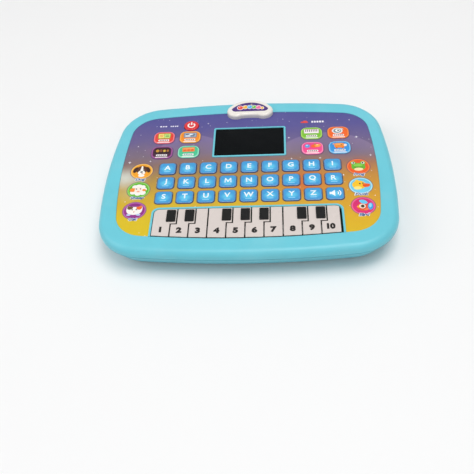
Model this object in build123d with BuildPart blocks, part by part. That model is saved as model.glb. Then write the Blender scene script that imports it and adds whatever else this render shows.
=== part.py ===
"""Toy learning computer: a flat battery toy with letter keys, a small piano and a dark display.

Frame: millimetres, +X to the user's right, +Y away from the user, +Z up.
The origin is on the surface the feet stand on, under the centre of the casing.
The two covers meet at SPLIT_Z. Everything that can be pressed comes up through the front cover's deck.
"""

import os
from math import radians, sqrt, tan

from build123d import *

# ---------------------------------------------------------------- driving dimensions
WIDTH, DEPTH = 240.0, 186.0  # casing, across and from front to back
SIDE_BOW, END_BOW = 480.0, 770.0  # radii of the bowed sides and of the bowed front and back
FLARE = 0.023  # the casing widens towards the user by this much per millimetre, each side
CORNER = 38.0  # corner radius of the casing in plan
WINDOW_HALF_X, WINDOW_HALF_Y, WINDOW_CORNER = 106.8, 76.85, 24.0  # recess for the printed panel
WALL, FLOOR = 2.4, 2.0  # casing walls and the rear cover's floor
TOP_ROUND, BACK_ROUND, TAPER = 5.5, 7.0, 32.0  # edge radii of the casing, slope of the rear cover's side

SEAM_W, SEAM_H = 0.4, 0.25  # groove where the covers meet, half of it in each
FOOT_H = 1.5  # how far the feet stand out of the rear cover
BACK_Z = FOOT_H  # outside of the rear cover's floor
SPLIT_Z = 19.0  # where the covers meet
TOP_Z = 26.5  # top of the bezel
RECESS_Z, PANEL_T = 25.6, 0.4  # deck under the printed panel, and the panel
PANEL_Z = RECESS_Z + PANEL_T
DECK_Z = 23.7  # underside of the deck
BOARD_Z, BOARD_T, MAT_T = 19.2, 1.2, 0.8
BOARD_TOP = BOARD_Z + BOARD_T
MAT_TOP = BOARD_TOP + MAT_T

PITCH, COLUMNS, GRID_X, GRID_Y = 17.25, 9, 1.2, -13.7  # letter keys: pitch both ways, columns, middle
CAP, CAP_CORNER, CAP_GAP = 13.9, 3.0, 0.3
CAP_TOP, CAP_BOTTOM, FLANGE, FLANGE_TOP = 26.8, 22.7, 0.8, 23.5
CAP_WALL, CAP_ROOF, STEM_R = 1.2, 1.3, 2.2
LEGENDS = "abcdefghijklmnopqrstuvwxyz"

PIANO_PITCH, PIANO_KEYS, PIANO_GAP, PIANO_LEFT = 14.63, 10, 1.0, -74.1
WELL_HALF_X, PIANO_BACK, PIANO_TOP, PIANO_BOTTOM, PIANO_LIP = 74.1, -44.2, 26.9, 22.6, 0.6
SHARP_W, SHARP_BACK, SHARP_FRONT, SHARP_RISE = 7.3, -46.4, -58.8, 0.8
SHARP_MARGIN, SHARP_FOOT = 1.1, 1.5  # white plate beside the land and in front of it
LAST_EXTRA = 0.6  # the last key is this much wider
SHARPS = (0, 1, 3, 4, 5, 7, 8)  # keys that carry a raised black land across their right edge
PIVOT_Y, PIVOT_Z, PIVOT_R, ROD_R, ROD_PLAY = -41.8, 22.1, 1.5, 0.8, 0.05
RIB_W, DOME_Y = 2.0, -64.0

SCREEN_X, SCREEN_Y, SCREEN_W, SCREEN_H, LEDGE = 0.6, 36.2, 60.0, 35.6, 2.2
RIDGE_W, RIDGE_TOP, GLASS_TOP, GLASS_T = 1.6, 26.7, 26.2, 1.6
MODES = [(x, y) for x in (-74.8, -51.8, 54.6, 77.6) for y in (24.7, 44.5)]
MODE_W, MODE_H, MODE_CORNER, MODE_RISE = 18.4, 15.6, 5.6, 0.8
ANIMALS = [(-89.7, 1.9), (-89.7, -20.9), (-90.1, -44.6), (91.2, 0.3), (91.2, -22.5), (91.2, -45.2)]
ANIMAL_R, ANIMAL_RISE = 8.0, 0.4
POWER_X, POWER_Y, POWER_R = -51.8, 60.4, 6.6

BADGE_X, BADGE_TOP, BADGE_SEAT = 0.6, 30.4, 24.8
LOBE_X, LOBE_Y, LOBE_R = 12.4, 76.0, 8.3
BADGE_BACK, BADGE_WAIST, BADGE_SHOULDER = 90.8, 69.1, (18.9, 81.0)
INLAY_T, INLAY_HALF_X, INLAY_FRONT, INLAY_BACK, BADGE_ROUND = 0.8, 16.4, 73.4, 86.2, 2.2

BAY_Y, BAY_L, BAY_W = 4.0, 57.0, 46.4  # battery bay's middle, and its inside along x and along y
BAY_TOP, BAY_WALL = 18.0, 1.0
CELL_R, CELL_L, CELL_PITCH, CELL_Z = 7.1, 48.6, 15.0, 10.6
NUB_R, NUB_L, SPRING_R, WIRE_R = 2.75, 1.4, 3.0, 0.35
DOOR_T, DOOR_GAP = 1.8, 0.3
HINGE_X, HINGE_Z, KNUCKLE_R, TRUNNION_R, TRUNNION_L = -32.2, 3.3, 1.8, 0.9, 1.6
DOOR_END, DOOR_SCREW_X = 39.0, 34.0

SPEAKER_X, SPEAKER_Y, SPEAKER_R, SPEAKER_T = 66.0, 4.0, 20.0, 5.0
COVER_POSTS = [(-95.0, -61.0), (95.0, -61.0), (-95.0, 61.0), (95.0, 61.0), (0.0, 66.0)]
BOARD_POSTS = [(side * x, y) for side in (-1, 1) for x, y in ((90.5, 48.0), (84.0, -34.2), (42.0, 14.2))]
FEET = [(x, y) for x in (-78.0, 78.0) for y in (-60.0, 60.0)]
FOOT_R, FOOT_SEAT = 6.0, 0.8
SCREW_R, SCREW_HEAD_R, SCREW_HEAD_H, SCREW_SEAT = 1.3, 2.6, 2.0, 13.5

os.makedirs("parts", exist_ok=True)

# ---------------------------------------------------------------- derived layout
KEY_SPOTS = [(GRID_X + (column - 4) * PITCH, GRID_Y + (1 - row) * PITCH)
             for row in range(3) for column in range(COLUMNS)]
DOOR_LOW_Y, DOOR_HIGH_Y = BAY_Y - BAY_W / 2, BAY_Y + BAY_W / 2
PIANO_LINES = [PIANO_LEFT + index * PIANO_PITCH for index in range(PIANO_KEYS + 1)]
BADGE_PEGS = [(BADGE_X - LOBE_X, LOBE_Y), (BADGE_X + LOBE_X, LOBE_Y)]


# ---------------------------------------------------------------- shapes used more than once
def bowed_outline(half_x, half_y, side_bow, end_bow, corner, inset, flare=0.0):
    """A rounded rectangle with bowed edges, drawn in by inset, wider in front by flare."""
    a, b, side, end = half_x - inset, half_y - inset, side_bow - inset, end_bow - inset
    x, y = a, b
    for _ in range(30):  # walks to the point where the side's arc meets the end's arc
        x = a - side + sqrt(side * side - y * y)
        y = b - end + sqrt(end * end - x * x)
    near, far = x + flare * y, x - flare * y
    with BuildSketch() as outline:
        with BuildLine():
            ThreePointArc((near, -y), (a, 0), (far, y))
            ThreePointArc((far, y), (0, b), (-far, y))
            ThreePointArc((-far, y), (-a, 0), (-near, -y))
            ThreePointArc((-near, -y), (0, -b), (near, -y))
        make_face()
        fillet(outline.vertices(), corner - inset)
    return outline.sketch


def casing_outline(inset=0.0):
    """The casing's plan, drawn in by inset."""
    return bowed_outline(WIDTH / 2, DEPTH / 2, SIDE_BOW, END_BOW, CORNER, inset, FLARE)


def window_outline(inset=0.0):
    """The plan of the recess for the printed panel, drawn in by inset."""
    side = SIDE_BOW - WIDTH / 2 + WINDOW_HALF_X
    end = END_BOW - DEPTH / 2 + WINDOW_HALF_Y
    return bowed_outline(WINDOW_HALF_X, WINDOW_HALF_Y, side, end, WINDOW_CORNER, inset)


def slab(low, high, z_low, z_high, corner=0.0, mode=Mode.ADD):
    """Adds a block with its plan given by two opposite corners, its upright edges rounded by corner."""
    (x0, y0), (x1, y1) = low, high
    with BuildSketch(Plane.XY.offset(z_low)) as plan:
        with Locations(((x0 + x1) / 2, (y0 + y1) / 2)):
            if corner > 0:
                RectangleRounded(x1 - x0, y1 - y0, corner)
            else:
                Rectangle(x1 - x0, y1 - y0)
    extrude(plan.sketch, amount=z_high - z_low, mode=mode)


def posts(spots, radius, z_low, z_high, mode=Mode.ADD):
    """Adds an upright cylinder at each spot."""
    with BuildSketch(Plane.XY.offset(z_low)) as plan:
        with Locations(*spots):
            Circle(radius)
    extrude(plan.sketch, amount=z_high - z_low, mode=mode)


def badge_outline(grow=0.0):
    """The badge's plan: a broad back, two round lobes in front and a shallow waist between them."""
    side, shoulder = BADGE_SHOULDER
    with BuildSketch() as outline:
        with BuildLine():
            ThreePointArc((side, shoulder), (0, BADGE_BACK), (-side, shoulder))
            Line((-side, shoulder), (-LOBE_X, LOBE_Y))
            Line((-LOBE_X, LOBE_Y), (-7.0, BADGE_WAIST))
            ThreePointArc((-7.0, BADGE_WAIST), (0, BADGE_WAIST + 0.5), (7.0, BADGE_WAIST))
            Line((7.0, BADGE_WAIST), (LOBE_X, LOBE_Y))
            Line((LOBE_X, LOBE_Y), (side, shoulder))
        make_face()
        with Locations((-LOBE_X, LOBE_Y), (LOBE_X, LOBE_Y)):
            Circle(LOBE_R)
        if grow:
            offset(amount=grow, kind=Kind.ARC)
    return outline.sketch.moved(Location((BADGE_X, 0, 0)))


def inlay_outline(grow=0.0):
    """The inlay's plan: an arched back and an almost straight front, with round ends."""
    middle = INLAY_FRONT + 5.2
    with BuildSketch() as outline:
        with BuildLine():
            ThreePointArc((INLAY_HALF_X, middle - 1.4), (0, INLAY_BACK), (-INLAY_HALF_X, middle - 1.4))
            ThreePointArc((-INLAY_HALF_X, middle - 1.4), (-INLAY_HALF_X + 1.2, INLAY_FRONT + 1.0),
                          (-INLAY_HALF_X + 4.0, INLAY_FRONT))
            Line((-INLAY_HALF_X + 4.0, INLAY_FRONT), (INLAY_HALF_X - 4.0, INLAY_FRONT))
            ThreePointArc((INLAY_HALF_X - 4.0, INLAY_FRONT), (INLAY_HALF_X - 1.2, INLAY_FRONT + 1.0),
                          (INLAY_HALF_X, middle - 1.4))
        make_face()
        if grow:
            offset(amount=grow, kind=Kind.ARC)
    return outline.sketch.moved(Location((BADGE_X, 0, 0)))


# ---------------------------------------------------------------- front cover
with BuildPart() as front_cover:
    with BuildSketch(Plane.XY.offset(SPLIT_Z)):
        add(casing_outline())
    extrude(amount=TOP_Z - SPLIT_Z)
    fillet(front_cover.faces().sort_by(Axis.Z)[-1].edges(), TOP_ROUND)
    with BuildSketch(Plane.XY.offset(SPLIT_Z)):
        add(casing_outline(WALL))
    extrude(amount=DECK_Z - SPLIT_Z, mode=Mode.SUBTRACT)
    with BuildSketch(Plane.XY.offset(RECESS_Z)):
        add(window_outline())
    extrude(amount=TOP_Z - RECESS_Z, mode=Mode.SUBTRACT)
    rim = front_cover.edges().group_by(Axis.Z)[-1]
    fillet([edge for edge in rim if abs(edge.center().X) <= WINDOW_HALF_X + 0.1
            and abs(edge.center().Y) <= WINDOW_HALF_Y + 0.1], 0.4)
    # raised rims of the display and of the piano's well
    slab((SCREEN_X - SCREEN_W / 2 - RIDGE_W, SCREEN_Y - SCREEN_H / 2 - RIDGE_W),
         (SCREEN_X + SCREEN_W / 2 + RIDGE_W, SCREEN_Y + SCREEN_H / 2 + RIDGE_W), DECK_Z, RIDGE_TOP, 1.6)
    fillet(front_cover.faces().sort_by(Axis.Z)[-1].edges(), 0.4)
    with BuildSketch(Plane.XY.offset(DECK_Z)):
        add(window_outline())
        with Locations((0, PIANO_BACK + RIDGE_W - 60)):
            RectangleRounded(2 * (WELL_HALF_X + RIDGE_W), 120, 6.0, mode=Mode.INTERSECT)
    extrude(amount=RIDGE_TOP - DECK_Z - 0.05)
    with BuildSketch(Plane.XY.offset(DECK_Z)):
        add(window_outline())
        with Locations((0, PIANO_BACK - 60)):
            RectangleRounded(2 * WELL_HALF_X, 120, 5.0, mode=Mode.INTERSECT)
    extrude(amount=RIDGE_TOP - DECK_Z, mode=Mode.SUBTRACT)
    # display opening with a ledge under the glass
    slab((SCREEN_X - SCREEN_W / 2, SCREEN_Y - SCREEN_H / 2),
         (SCREEN_X + SCREEN_W / 2, SCREEN_Y + SCREEN_H / 2), GLASS_TOP - GLASS_T, RIDGE_TOP, 0.8,
         Mode.SUBTRACT)
    slab((SCREEN_X - SCREEN_W / 2 + LEDGE, SCREEN_Y - SCREEN_H / 2 + LEDGE),
         (SCREEN_X + SCREEN_W / 2 - LEDGE, SCREEN_Y + SCREEN_H / 2 - LEDGE), DECK_Z, RIDGE_TOP,
         mode=Mode.SUBTRACT)
    # openings for the letter keys and the power button, and holes under the panel's domed buttons
    with BuildSketch(Plane.XY.offset(DECK_Z)):
        with Locations(*KEY_SPOTS):
            RectangleRounded(CAP + 2 * CAP_GAP, CAP + 2 * CAP_GAP, CAP_CORNER + CAP_GAP)
        with Locations((POWER_X, POWER_Y)):
            Circle(POWER_R + CAP_GAP)
        with Locations(*MODES, *ANIMALS):
            Circle(5.0)
    extrude(amount=TOP_Z - DECK_Z, mode=Mode.SUBTRACT)
    # ribs that carry the piano's pivot rod
    for x in PIANO_LINES:
        slab((x - RIB_W / 2, PIVOT_Y - 1.6), (x + RIB_W / 2, PIVOT_Y + 1.6), PIVOT_Z - 1.6, DECK_Z)
    with BuildSketch(Plane.YZ.offset(PIANO_LINES[0] - RIB_W)):
        with Locations((PIVOT_Y, PIVOT_Z)):
            Circle(ROD_R)
    extrude(amount=PIANO_LINES[-1] - PIANO_LINES[0] + 2 * RIB_W, mode=Mode.SUBTRACT)
    # bosses for the cover screws and the board screws
    posts(COVER_POSTS, 3.6, SPLIT_Z, DECK_Z)
    posts(COVER_POSTS, SCREW_R, SPLIT_Z, DECK_Z - 0.6, Mode.SUBTRACT)
    posts(BOARD_POSTS, 2.3, BOARD_TOP, DECK_Z)
    posts(BOARD_POSTS, 0.9, BOARD_TOP, DECK_Z - 0.2, Mode.SUBTRACT)
    # seat of the badge, with two holes for its pegs
    with BuildSketch(Plane.XY.offset(BADGE_SEAT)):
        add(badge_outline(0.05))
    extrude(amount=BADGE_TOP - BADGE_SEAT, mode=Mode.SUBTRACT)
    posts(BADGE_PEGS, 1.5, DECK_Z, BADGE_SEAT, Mode.SUBTRACT)
    # this cover's half of the groove at the seam
    with BuildSketch(Plane.XY.offset(SPLIT_Z)):
        add(casing_outline())
        add(casing_outline(SEAM_W), mode=Mode.SUBTRACT)
    extrude(amount=SEAM_H, mode=Mode.SUBTRACT)
front_cover.part.label = "front_cover"
export_step(front_cover.part, "parts/front_cover.step")


# ---------------------------------------------------------------- rear cover
def rear_shell(inset, z_low, edge_round):
    """The rear cover's outer or inner form: bowed plan tapering to z_low, with a rounded lower edge."""
    with BuildPart() as shell:
        with BuildSketch(Plane.XY.offset(z_low)):
            add(casing_outline(inset + (SPLIT_Z - z_low) * tan(radians(TAPER))))
        with BuildSketch(Plane.XY.offset(SPLIT_Z)):
            add(casing_outline(inset))
        loft(ruled=True)
        fillet(shell.faces().sort_by(Axis.Z)[0].edges(), edge_round)
    return shell.part


with BuildPart() as rear_cover:
    add(rear_shell(0.0, BACK_Z, BACK_ROUND))
    add(rear_shell(2.8, BACK_Z + FLOOR, BACK_ROUND - FLOOR), mode=Mode.SUBTRACT)
    # lip that sits inside the front cover's wall
    with BuildSketch(Plane.XY.offset(SPLIT_Z - 1.6)):
        add(casing_outline(WALL + 0.05))
        add(casing_outline(WALL + 1.2), mode=Mode.SUBTRACT)
    extrude(amount=2.8)
    # battery bay: walls and ceiling
    slab((-BAY_L / 2 - BAY_WALL, DOOR_LOW_Y - BAY_WALL), (BAY_L / 2 + BAY_WALL, DOOR_HIGH_Y + BAY_WALL),
         BACK_Z + FLOOR - 0.2, BAY_TOP + BAY_WALL, 1.0)
    slab((-BAY_L / 2, DOOR_LOW_Y), (BAY_L / 2, DOOR_HIGH_Y), BACK_Z, BAY_TOP, 0, Mode.SUBTRACT)
    # blocks that take the battery door's trunnions, at the ends of its hinge line
    for y0, y1 in ((DOOR_LOW_Y - 3.0, DOOR_LOW_Y), (DOOR_HIGH_Y, DOOR_HIGH_Y + 3.0)):
        slab((HINGE_X - 3.2, y0), (-BAY_L / 2, y1), BACK_Z, HINGE_Z + 2.6)
    # opening in the floor for the door, a boss and a clear hole for the door's screw
    slab((HINGE_X - KNUCKLE_R - 0.4, DOOR_LOW_Y), (DOOR_END, DOOR_HIGH_Y), BACK_Z, BACK_Z + FLOOR,
         mode=Mode.SUBTRACT)
    posts([(DOOR_SCREW_X, BAY_Y)], 4.4, BACK_Z + DOOR_T + 0.05, 13.0)
    slab((BAY_L / 2, BAY_Y - 1.0), (DOOR_SCREW_X - 3.0, BAY_Y + 1.0), BACK_Z + FLOOR + 0.6, 12.0)
    posts([(DOOR_SCREW_X, BAY_Y)], 2.1, BACK_Z + DOOR_T, 12.0, Mode.SUBTRACT)
    with BuildSketch(Plane.XZ.offset(-DOOR_HIGH_Y - 2.2)):
        with Locations((HINGE_X, HINGE_Z)):
            Circle(TRUNNION_R + 0.08)
    extrude(amount=BAY_W + 4.4, mode=Mode.SUBTRACT)
    # posts of the cover screws, bored from below
    posts(COVER_POSTS, 4.4, BACK_Z + FLOOR - 0.2, SPLIT_Z)
    posts(COVER_POSTS, SCREW_HEAD_R + 0.4, BACK_Z, SCREW_SEAT, Mode.SUBTRACT)
    posts(COVER_POSTS, SCREW_R + 0.2, SCREW_SEAT, SPLIT_Z, Mode.SUBTRACT)
    # speaker: a locating ring and sound holes
    posts([(SPEAKER_X, SPEAKER_Y)], SPEAKER_R + 1.8, BACK_Z + FLOOR - 0.2, BACK_Z + FLOOR + 3.4)
    posts([(SPEAKER_X, SPEAKER_Y)], SPEAKER_R + 0.1, BACK_Z + FLOOR, BACK_Z + FLOOR + 3.4, Mode.SUBTRACT)
    with BuildSketch(Plane.XY.offset(BACK_Z)):
        with Locations((SPEAKER_X, SPEAKER_Y)):
            Circle(1.1)
            with PolarLocations(5.0, 6):
                Circle(1.1)
            with PolarLocations(10.0, 12):
                Circle(1.1)
    extrude(amount=FLOOR, mode=Mode.SUBTRACT)
    # this cover's half of the groove at the seam
    with BuildSketch(Plane.XY.offset(SPLIT_Z - SEAM_H)):
        add(casing_outline())
        add(casing_outline(SEAM_W), mode=Mode.SUBTRACT)
    extrude(amount=SEAM_H, mode=Mode.SUBTRACT)
    # seats of the rubber feet
    posts(FEET, FOOT_R, BACK_Z, BACK_Z + FOOT_SEAT, Mode.SUBTRACT)
rear_cover.part.label = "rear_cover"
export_step(rear_cover.part, "parts/rear_cover.step")


# ---------------------------------------------------------------- printed panel
with BuildPart() as printed_panel:
    with BuildSketch(Plane.XY.offset(RECESS_Z)):
        add(window_outline(0.1))
        with Locations((0, PIANO_BACK + RIDGE_W - 60)):
            RectangleRounded(2 * (WELL_HALF_X + RIDGE_W + 0.1), 120.2, 6.1, mode=Mode.SUBTRACT)
        with Locations((SCREEN_X, SCREEN_Y)):
            RectangleRounded(SCREEN_W + 2 * RIDGE_W + 0.2, SCREEN_H + 2 * RIDGE_W + 0.2, 1.7,
                             mode=Mode.SUBTRACT)
        with Locations(*KEY_SPOTS):
            RectangleRounded(CAP + 0.8, CAP + 0.8, CAP_CORNER + 0.4, mode=Mode.SUBTRACT)
        with Locations((POWER_X, POWER_Y)):
            Circle(POWER_R + 0.4, mode=Mode.SUBTRACT)
        add(badge_outline(0.15), mode=Mode.SUBTRACT)
    extrude(amount=PANEL_T)
    # domed buttons, hollow underneath so that they can be pushed in
    with BuildSketch(Plane.XY.offset(RECESS_Z)):
        with Locations(*MODES):
            RectangleRounded(MODE_W, MODE_H, MODE_CORNER)
    extrude(amount=PANEL_T + MODE_RISE)
    fillet(printed_panel.faces().group_by(Axis.Z)[-1].edges(), 0.6)
    posts(ANIMALS, ANIMAL_R, RECESS_Z, PANEL_Z + ANIMAL_RISE)
    rims = [edge for edge in printed_panel.edges() if abs(edge.center().Z - PANEL_Z - ANIMAL_RISE) < 0.01]
    fillet(rims, 0.3)
    with BuildSketch(Plane.XY.offset(RECESS_Z)):
        with Locations(*MODES):
            RectangleRounded(MODE_W - 1.6, MODE_H - 1.6, MODE_CORNER - 0.8)
    extrude(amount=MODE_RISE - 0.1, mode=Mode.SUBTRACT)
    posts(ANIMALS, ANIMAL_R - 0.8, RECESS_Z, RECESS_Z + ANIMAL_RISE, Mode.SUBTRACT)
printed_panel.part.label = "printed_panel"
export_step(printed_panel.part, "parts/printed_panel.step")


# ---------------------------------------------------------------- letter keys
def letter_key(spot):
    """One hollow key cap with a flange that keeps it under the deck and a stem over its rubber dome."""
    x, y = spot
    with BuildPart() as cap:
        slab((x - CAP / 2, y - CAP / 2), (x + CAP / 2, y + CAP / 2), CAP_BOTTOM, CAP_TOP, CAP_CORNER)
        fillet(cap.faces().sort_by(Axis.Z)[-1].edges(), 0.7)
        side = CAP / 2 + FLANGE
        slab((x - side, y - side), (x + side, y + side), CAP_BOTTOM, FLANGE_TOP, CAP_CORNER + 0.5)
        inner = CAP / 2 - CAP_WALL
        slab((x - inner, y - inner), (x + inner, y + inner), CAP_BOTTOM, CAP_TOP - CAP_ROOF, 2.0,
             Mode.SUBTRACT)
        posts([spot], STEM_R, CAP_BOTTOM, CAP_TOP - CAP_ROOF)
    return cap.part


for index, spot in enumerate(KEY_SPOTS):
    name = "key_" + LEGENDS[index] if index < len(LEGENDS) else "key_sound"
    key = letter_key(spot)
    key.label = name
    export_step(key, "parts/" + name + ".step")


# ---------------------------------------------------------------- power button
with BuildPart() as power_button:
    posts([(POWER_X, POWER_Y)], POWER_R, CAP_BOTTOM, CAP_TOP)
    fillet(power_button.faces().sort_by(Axis.Z)[-1].edges(), 0.7)
    posts([(POWER_X, POWER_Y)], POWER_R + FLANGE, CAP_BOTTOM, FLANGE_TOP)
    posts([(POWER_X, POWER_Y)], POWER_R - CAP_WALL, CAP_BOTTOM, CAP_TOP - CAP_ROOF, Mode.SUBTRACT)
    posts([(POWER_X, POWER_Y)], STEM_R, CAP_BOTTOM, CAP_TOP - CAP_ROOF)
power_button.part.label = "power_button"
export_step(power_button.part, "parts/power_button.step")


# ---------------------------------------------------------------- piano keys
def piano_key(index):
    """One lever: a plate with a barrel behind it; some carry a raised land that reaches over the next key."""
    left, right = PIANO_LINES[index], PIANO_LINES[index + 1]
    reach = SHARP_W / 2 + SHARP_MARGIN
    back = PIANO_BACK - PIANO_LIP
    neck_left = left + RIB_W / 2 + 0.4
    with BuildPart() as key:
        with BuildSketch(Plane.XY.offset(PIANO_BOTTOM)):
            wide = PIANO_PITCH - PIANO_GAP + (LAST_EXTRA if index == PIANO_KEYS - 1 else 0.0)
            with Locations((left + PIANO_GAP / 2 + wide / 2, back - 20.0)):
                Rectangle(wide, 40.0)
            if index in SHARPS:
                with Locations((right + (reach - PIANO_GAP) / 2, (back + SHARP_FRONT - SHARP_FOOT) / 2)):
                    Rectangle(reach, back - SHARP_FRONT + SHARP_FOOT)
            if index - 1 in SHARPS:
                cut = reach + PIANO_GAP / 2
                neck_left = left + cut
                with Locations((left + cut / 2, (back + SHARP_FRONT - SHARP_FOOT - PIANO_GAP) / 2)):
                    Rectangle(cut, back - SHARP_FRONT + SHARP_FOOT + PIANO_GAP, mode=Mode.SUBTRACT)
            add(window_outline(PIANO_LIP), mode=Mode.INTERSECT)
            with Locations((0, back - 60)):
                RectangleRounded(2 * WELL_HALF_X - 1.2, 120, 4.4, mode=Mode.INTERSECT)
        extrude(amount=PIANO_TOP - PIANO_BOTTOM)
        fillet(key.faces().sort_by(Axis.Z)[-1].edges(), 0.35)
        if index in SHARPS:
            slab((right - SHARP_W / 2, SHARP_FRONT), (right + SHARP_W / 2, SHARP_BACK),
                 PIANO_TOP - 0.5, PIANO_TOP + SHARP_RISE, 0.8)
        # neck and barrel under the deck
        neck_right = right - RIB_W / 2 - 0.4
        slab((neck_left, back - 1.0), (neck_right, PIVOT_Y), PIVOT_Z - 0.8, DECK_Z - 0.25)
        slab((neck_left, back - 3.0), (neck_right, back - 0.8), PIVOT_Z - 0.8, PIANO_BOTTOM + 0.5)
        with BuildSketch(Plane.YZ.offset(neck_left)):
            with Locations((PIVOT_Y, PIVOT_Z)):
                Circle(PIVOT_R)
        extrude(amount=neck_right - neck_left)
        with BuildSketch(Plane.YZ.offset(left)):
            with Locations((PIVOT_Y, PIVOT_Z)):
                Circle(ROD_R + ROD_PLAY)
        extrude(amount=PIANO_PITCH, mode=Mode.SUBTRACT)
    return key.part


for index in range(PIANO_KEYS):
    lever = piano_key(index)
    lever.label = "piano_key_" + str(index + 1)
    export_step(lever, "parts/piano_key_" + str(index + 1) + ".step")

with BuildPart() as piano_pivot_rod:
    with BuildSketch(Plane.YZ.offset(PIANO_LINES[0] - RIB_W / 2)):
        with Locations((PIVOT_Y, PIVOT_Z)):
            Circle(ROD_R)
    extrude(amount=PIANO_LINES[-1] - PIANO_LINES[0] + RIB_W)
piano_pivot_rod.part.label = "piano_pivot_rod"
export_step(piano_pivot_rod.part, "parts/piano_pivot_rod.step")


# ---------------------------------------------------------------- badge
with BuildPart() as badge_frame:
    with BuildSketch(Plane.XY.offset(BADGE_SEAT)):
        add(badge_outline())
    extrude(amount=BADGE_TOP - BADGE_SEAT)
    fillet(badge_frame.faces().sort_by(Axis.Z)[-1].edges(), BADGE_ROUND)
    posts(BADGE_PEGS, 1.45, DECK_Z - 0.4, BADGE_SEAT)
    with BuildSketch(Plane.XY.offset(BADGE_TOP - INLAY_T)):
        add(inlay_outline())
    extrude(amount=INLAY_T, mode=Mode.SUBTRACT)
badge_frame.part.label = "badge_frame"
export_step(badge_frame.part, "parts/badge_frame.step")

with BuildPart() as badge_inlay:
    with BuildSketch(Plane.XY.offset(BADGE_TOP - INLAY_T)):
        add(inlay_outline(-0.05))
    extrude(amount=INLAY_T - 0.1)
badge_inlay.part.label = "badge_inlay"
export_step(badge_inlay.part, "parts/badge_inlay.step")


# ---------------------------------------------------------------- display
with BuildPart() as display_window:
    slab((SCREEN_X - SCREEN_W / 2 + 0.1, SCREEN_Y - SCREEN_H / 2 + 0.1),
         (SCREEN_X + SCREEN_W / 2 - 0.1, SCREEN_Y + SCREEN_H / 2 - 0.1), GLASS_TOP - GLASS_T, GLASS_TOP, 0.7)
    fillet(display_window.faces().sort_by(Axis.Z)[-1].edges(), 0.25)
display_window.part.label = "display_window"
export_step(display_window.part, "parts/display_window.step")

with BuildPart() as display_module:
    slab((SCREEN_X - 27.0, SCREEN_Y - 15.2), (SCREEN_X + 27.0, SCREEN_Y + 15.2), BOARD_TOP,
         GLASS_TOP - GLASS_T - 0.3)
display_module.part.label = "display_module"
export_step(display_module.part, "parts/display_module.step")


# ---------------------------------------------------------------- board and rubber mats
with BuildPart() as main_board:
    slab((-101.0, -56.0), (101.0, 55.0), BOARD_Z, BOARD_TOP, 2.0)
    slab((-87.0, -75.0), (87.0, 60.0), BOARD_Z, BOARD_TOP, 2.0)
    slab((-87.0, 50.0), (-40.0, 69.0), BOARD_Z, BOARD_TOP, 2.0)
    posts(BOARD_POSTS, 1.1, BOARD_Z, BOARD_TOP, Mode.SUBTRACT)
    # a chip and a capacitor under the board
    slab((-70.0, 30.0), (-56.0, 44.0), BOARD_Z - 2.0, BOARD_Z)
    posts([(-44.0, 40.0)], 3.0, BOARD_Z - 8.0, BOARD_Z)
main_board.part.label = "main_board"
export_step(main_board.part, "parts/main_board.step")

with BuildPart() as key_mat:
    slab((-99.5, -39.2), (99.5, 12.4), BOARD_TOP, MAT_TOP)
    slab((-99.5, -55.0), (-79.0, -38.0), BOARD_TOP, MAT_TOP)
    slab((79.0, -55.0), (99.5, -38.0), BOARD_TOP, MAT_TOP)
    slab((-86.5, 12.0), (-44.0, 68.0), BOARD_TOP, MAT_TOP)
    slab((44.0, 12.0), (86.5, 53.0), BOARD_TOP, MAT_TOP)
    posts(BOARD_POSTS, 2.9, BOARD_TOP, MAT_TOP, Mode.SUBTRACT)
    posts(KEY_SPOTS + [(POWER_X, POWER_Y)], 3.6, MAT_TOP, CAP_BOTTOM)
    posts(MODES + ANIMALS, 3.6, MAT_TOP, DECK_Z + 0.8)
key_mat.part.label = "key_mat"
export_step(key_mat.part, "parts/key_mat.step")

with BuildPart() as piano_mat:
    slab((PIANO_LINES[0], DOME_Y - 5.0), (PIANO_LINES[-1], DOME_Y + 5.0), BOARD_TOP, MAT_TOP)
    posts([(line + PIANO_PITCH / 2, DOME_Y) for line in PIANO_LINES[:-1]], 3.6, MAT_TOP, PIANO_BOTTOM)
piano_mat.part.label = "piano_mat"
export_step(piano_mat.part, "parts/piano_mat.step")


# ---------------------------------------------------------------- speaker
with BuildPart() as speaker:
    posts([(SPEAKER_X, SPEAKER_Y)], SPEAKER_R, BACK_Z + FLOOR, BACK_Z + FLOOR + 1.6)
    posts([(SPEAKER_X, SPEAKER_Y)], SPEAKER_R - 4.0, BACK_Z + FLOOR, BACK_Z + FLOOR + SPEAKER_T)
    posts([(SPEAKER_X, SPEAKER_Y)], 8.0, BACK_Z + FLOOR, BACK_Z + FLOOR + SPEAKER_T + 3.0)
speaker.part.label = "speaker"
export_step(speaker.part, "parts/speaker.step")


# ---------------------------------------------------------------- batteries, contacts and door
CELL_ROWS = [(BAY_Y + (row - 1) * CELL_PITCH, 1 if row % 2 == 0 else -1) for row in range(3)]
CELL_END = BAY_L / 2 - 0.4

with BuildPart() as battery_cells:
    for y, side in CELL_ROWS:
        with BuildSketch(Plane.YZ.offset(side * (CELL_END - NUB_L))):
            with Locations((y, CELL_Z)):
                Circle(CELL_R)
        extrude(amount=-side * CELL_L)
        with BuildSketch(Plane.YZ.offset(side * (CELL_END - NUB_L))):
            with Locations((y, CELL_Z)):
                Circle(NUB_R)
        extrude(amount=side * NUB_L)
battery_cells.part.label = "battery_cells"
export_step(battery_cells.part, "parts/battery_cells.step")

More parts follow.
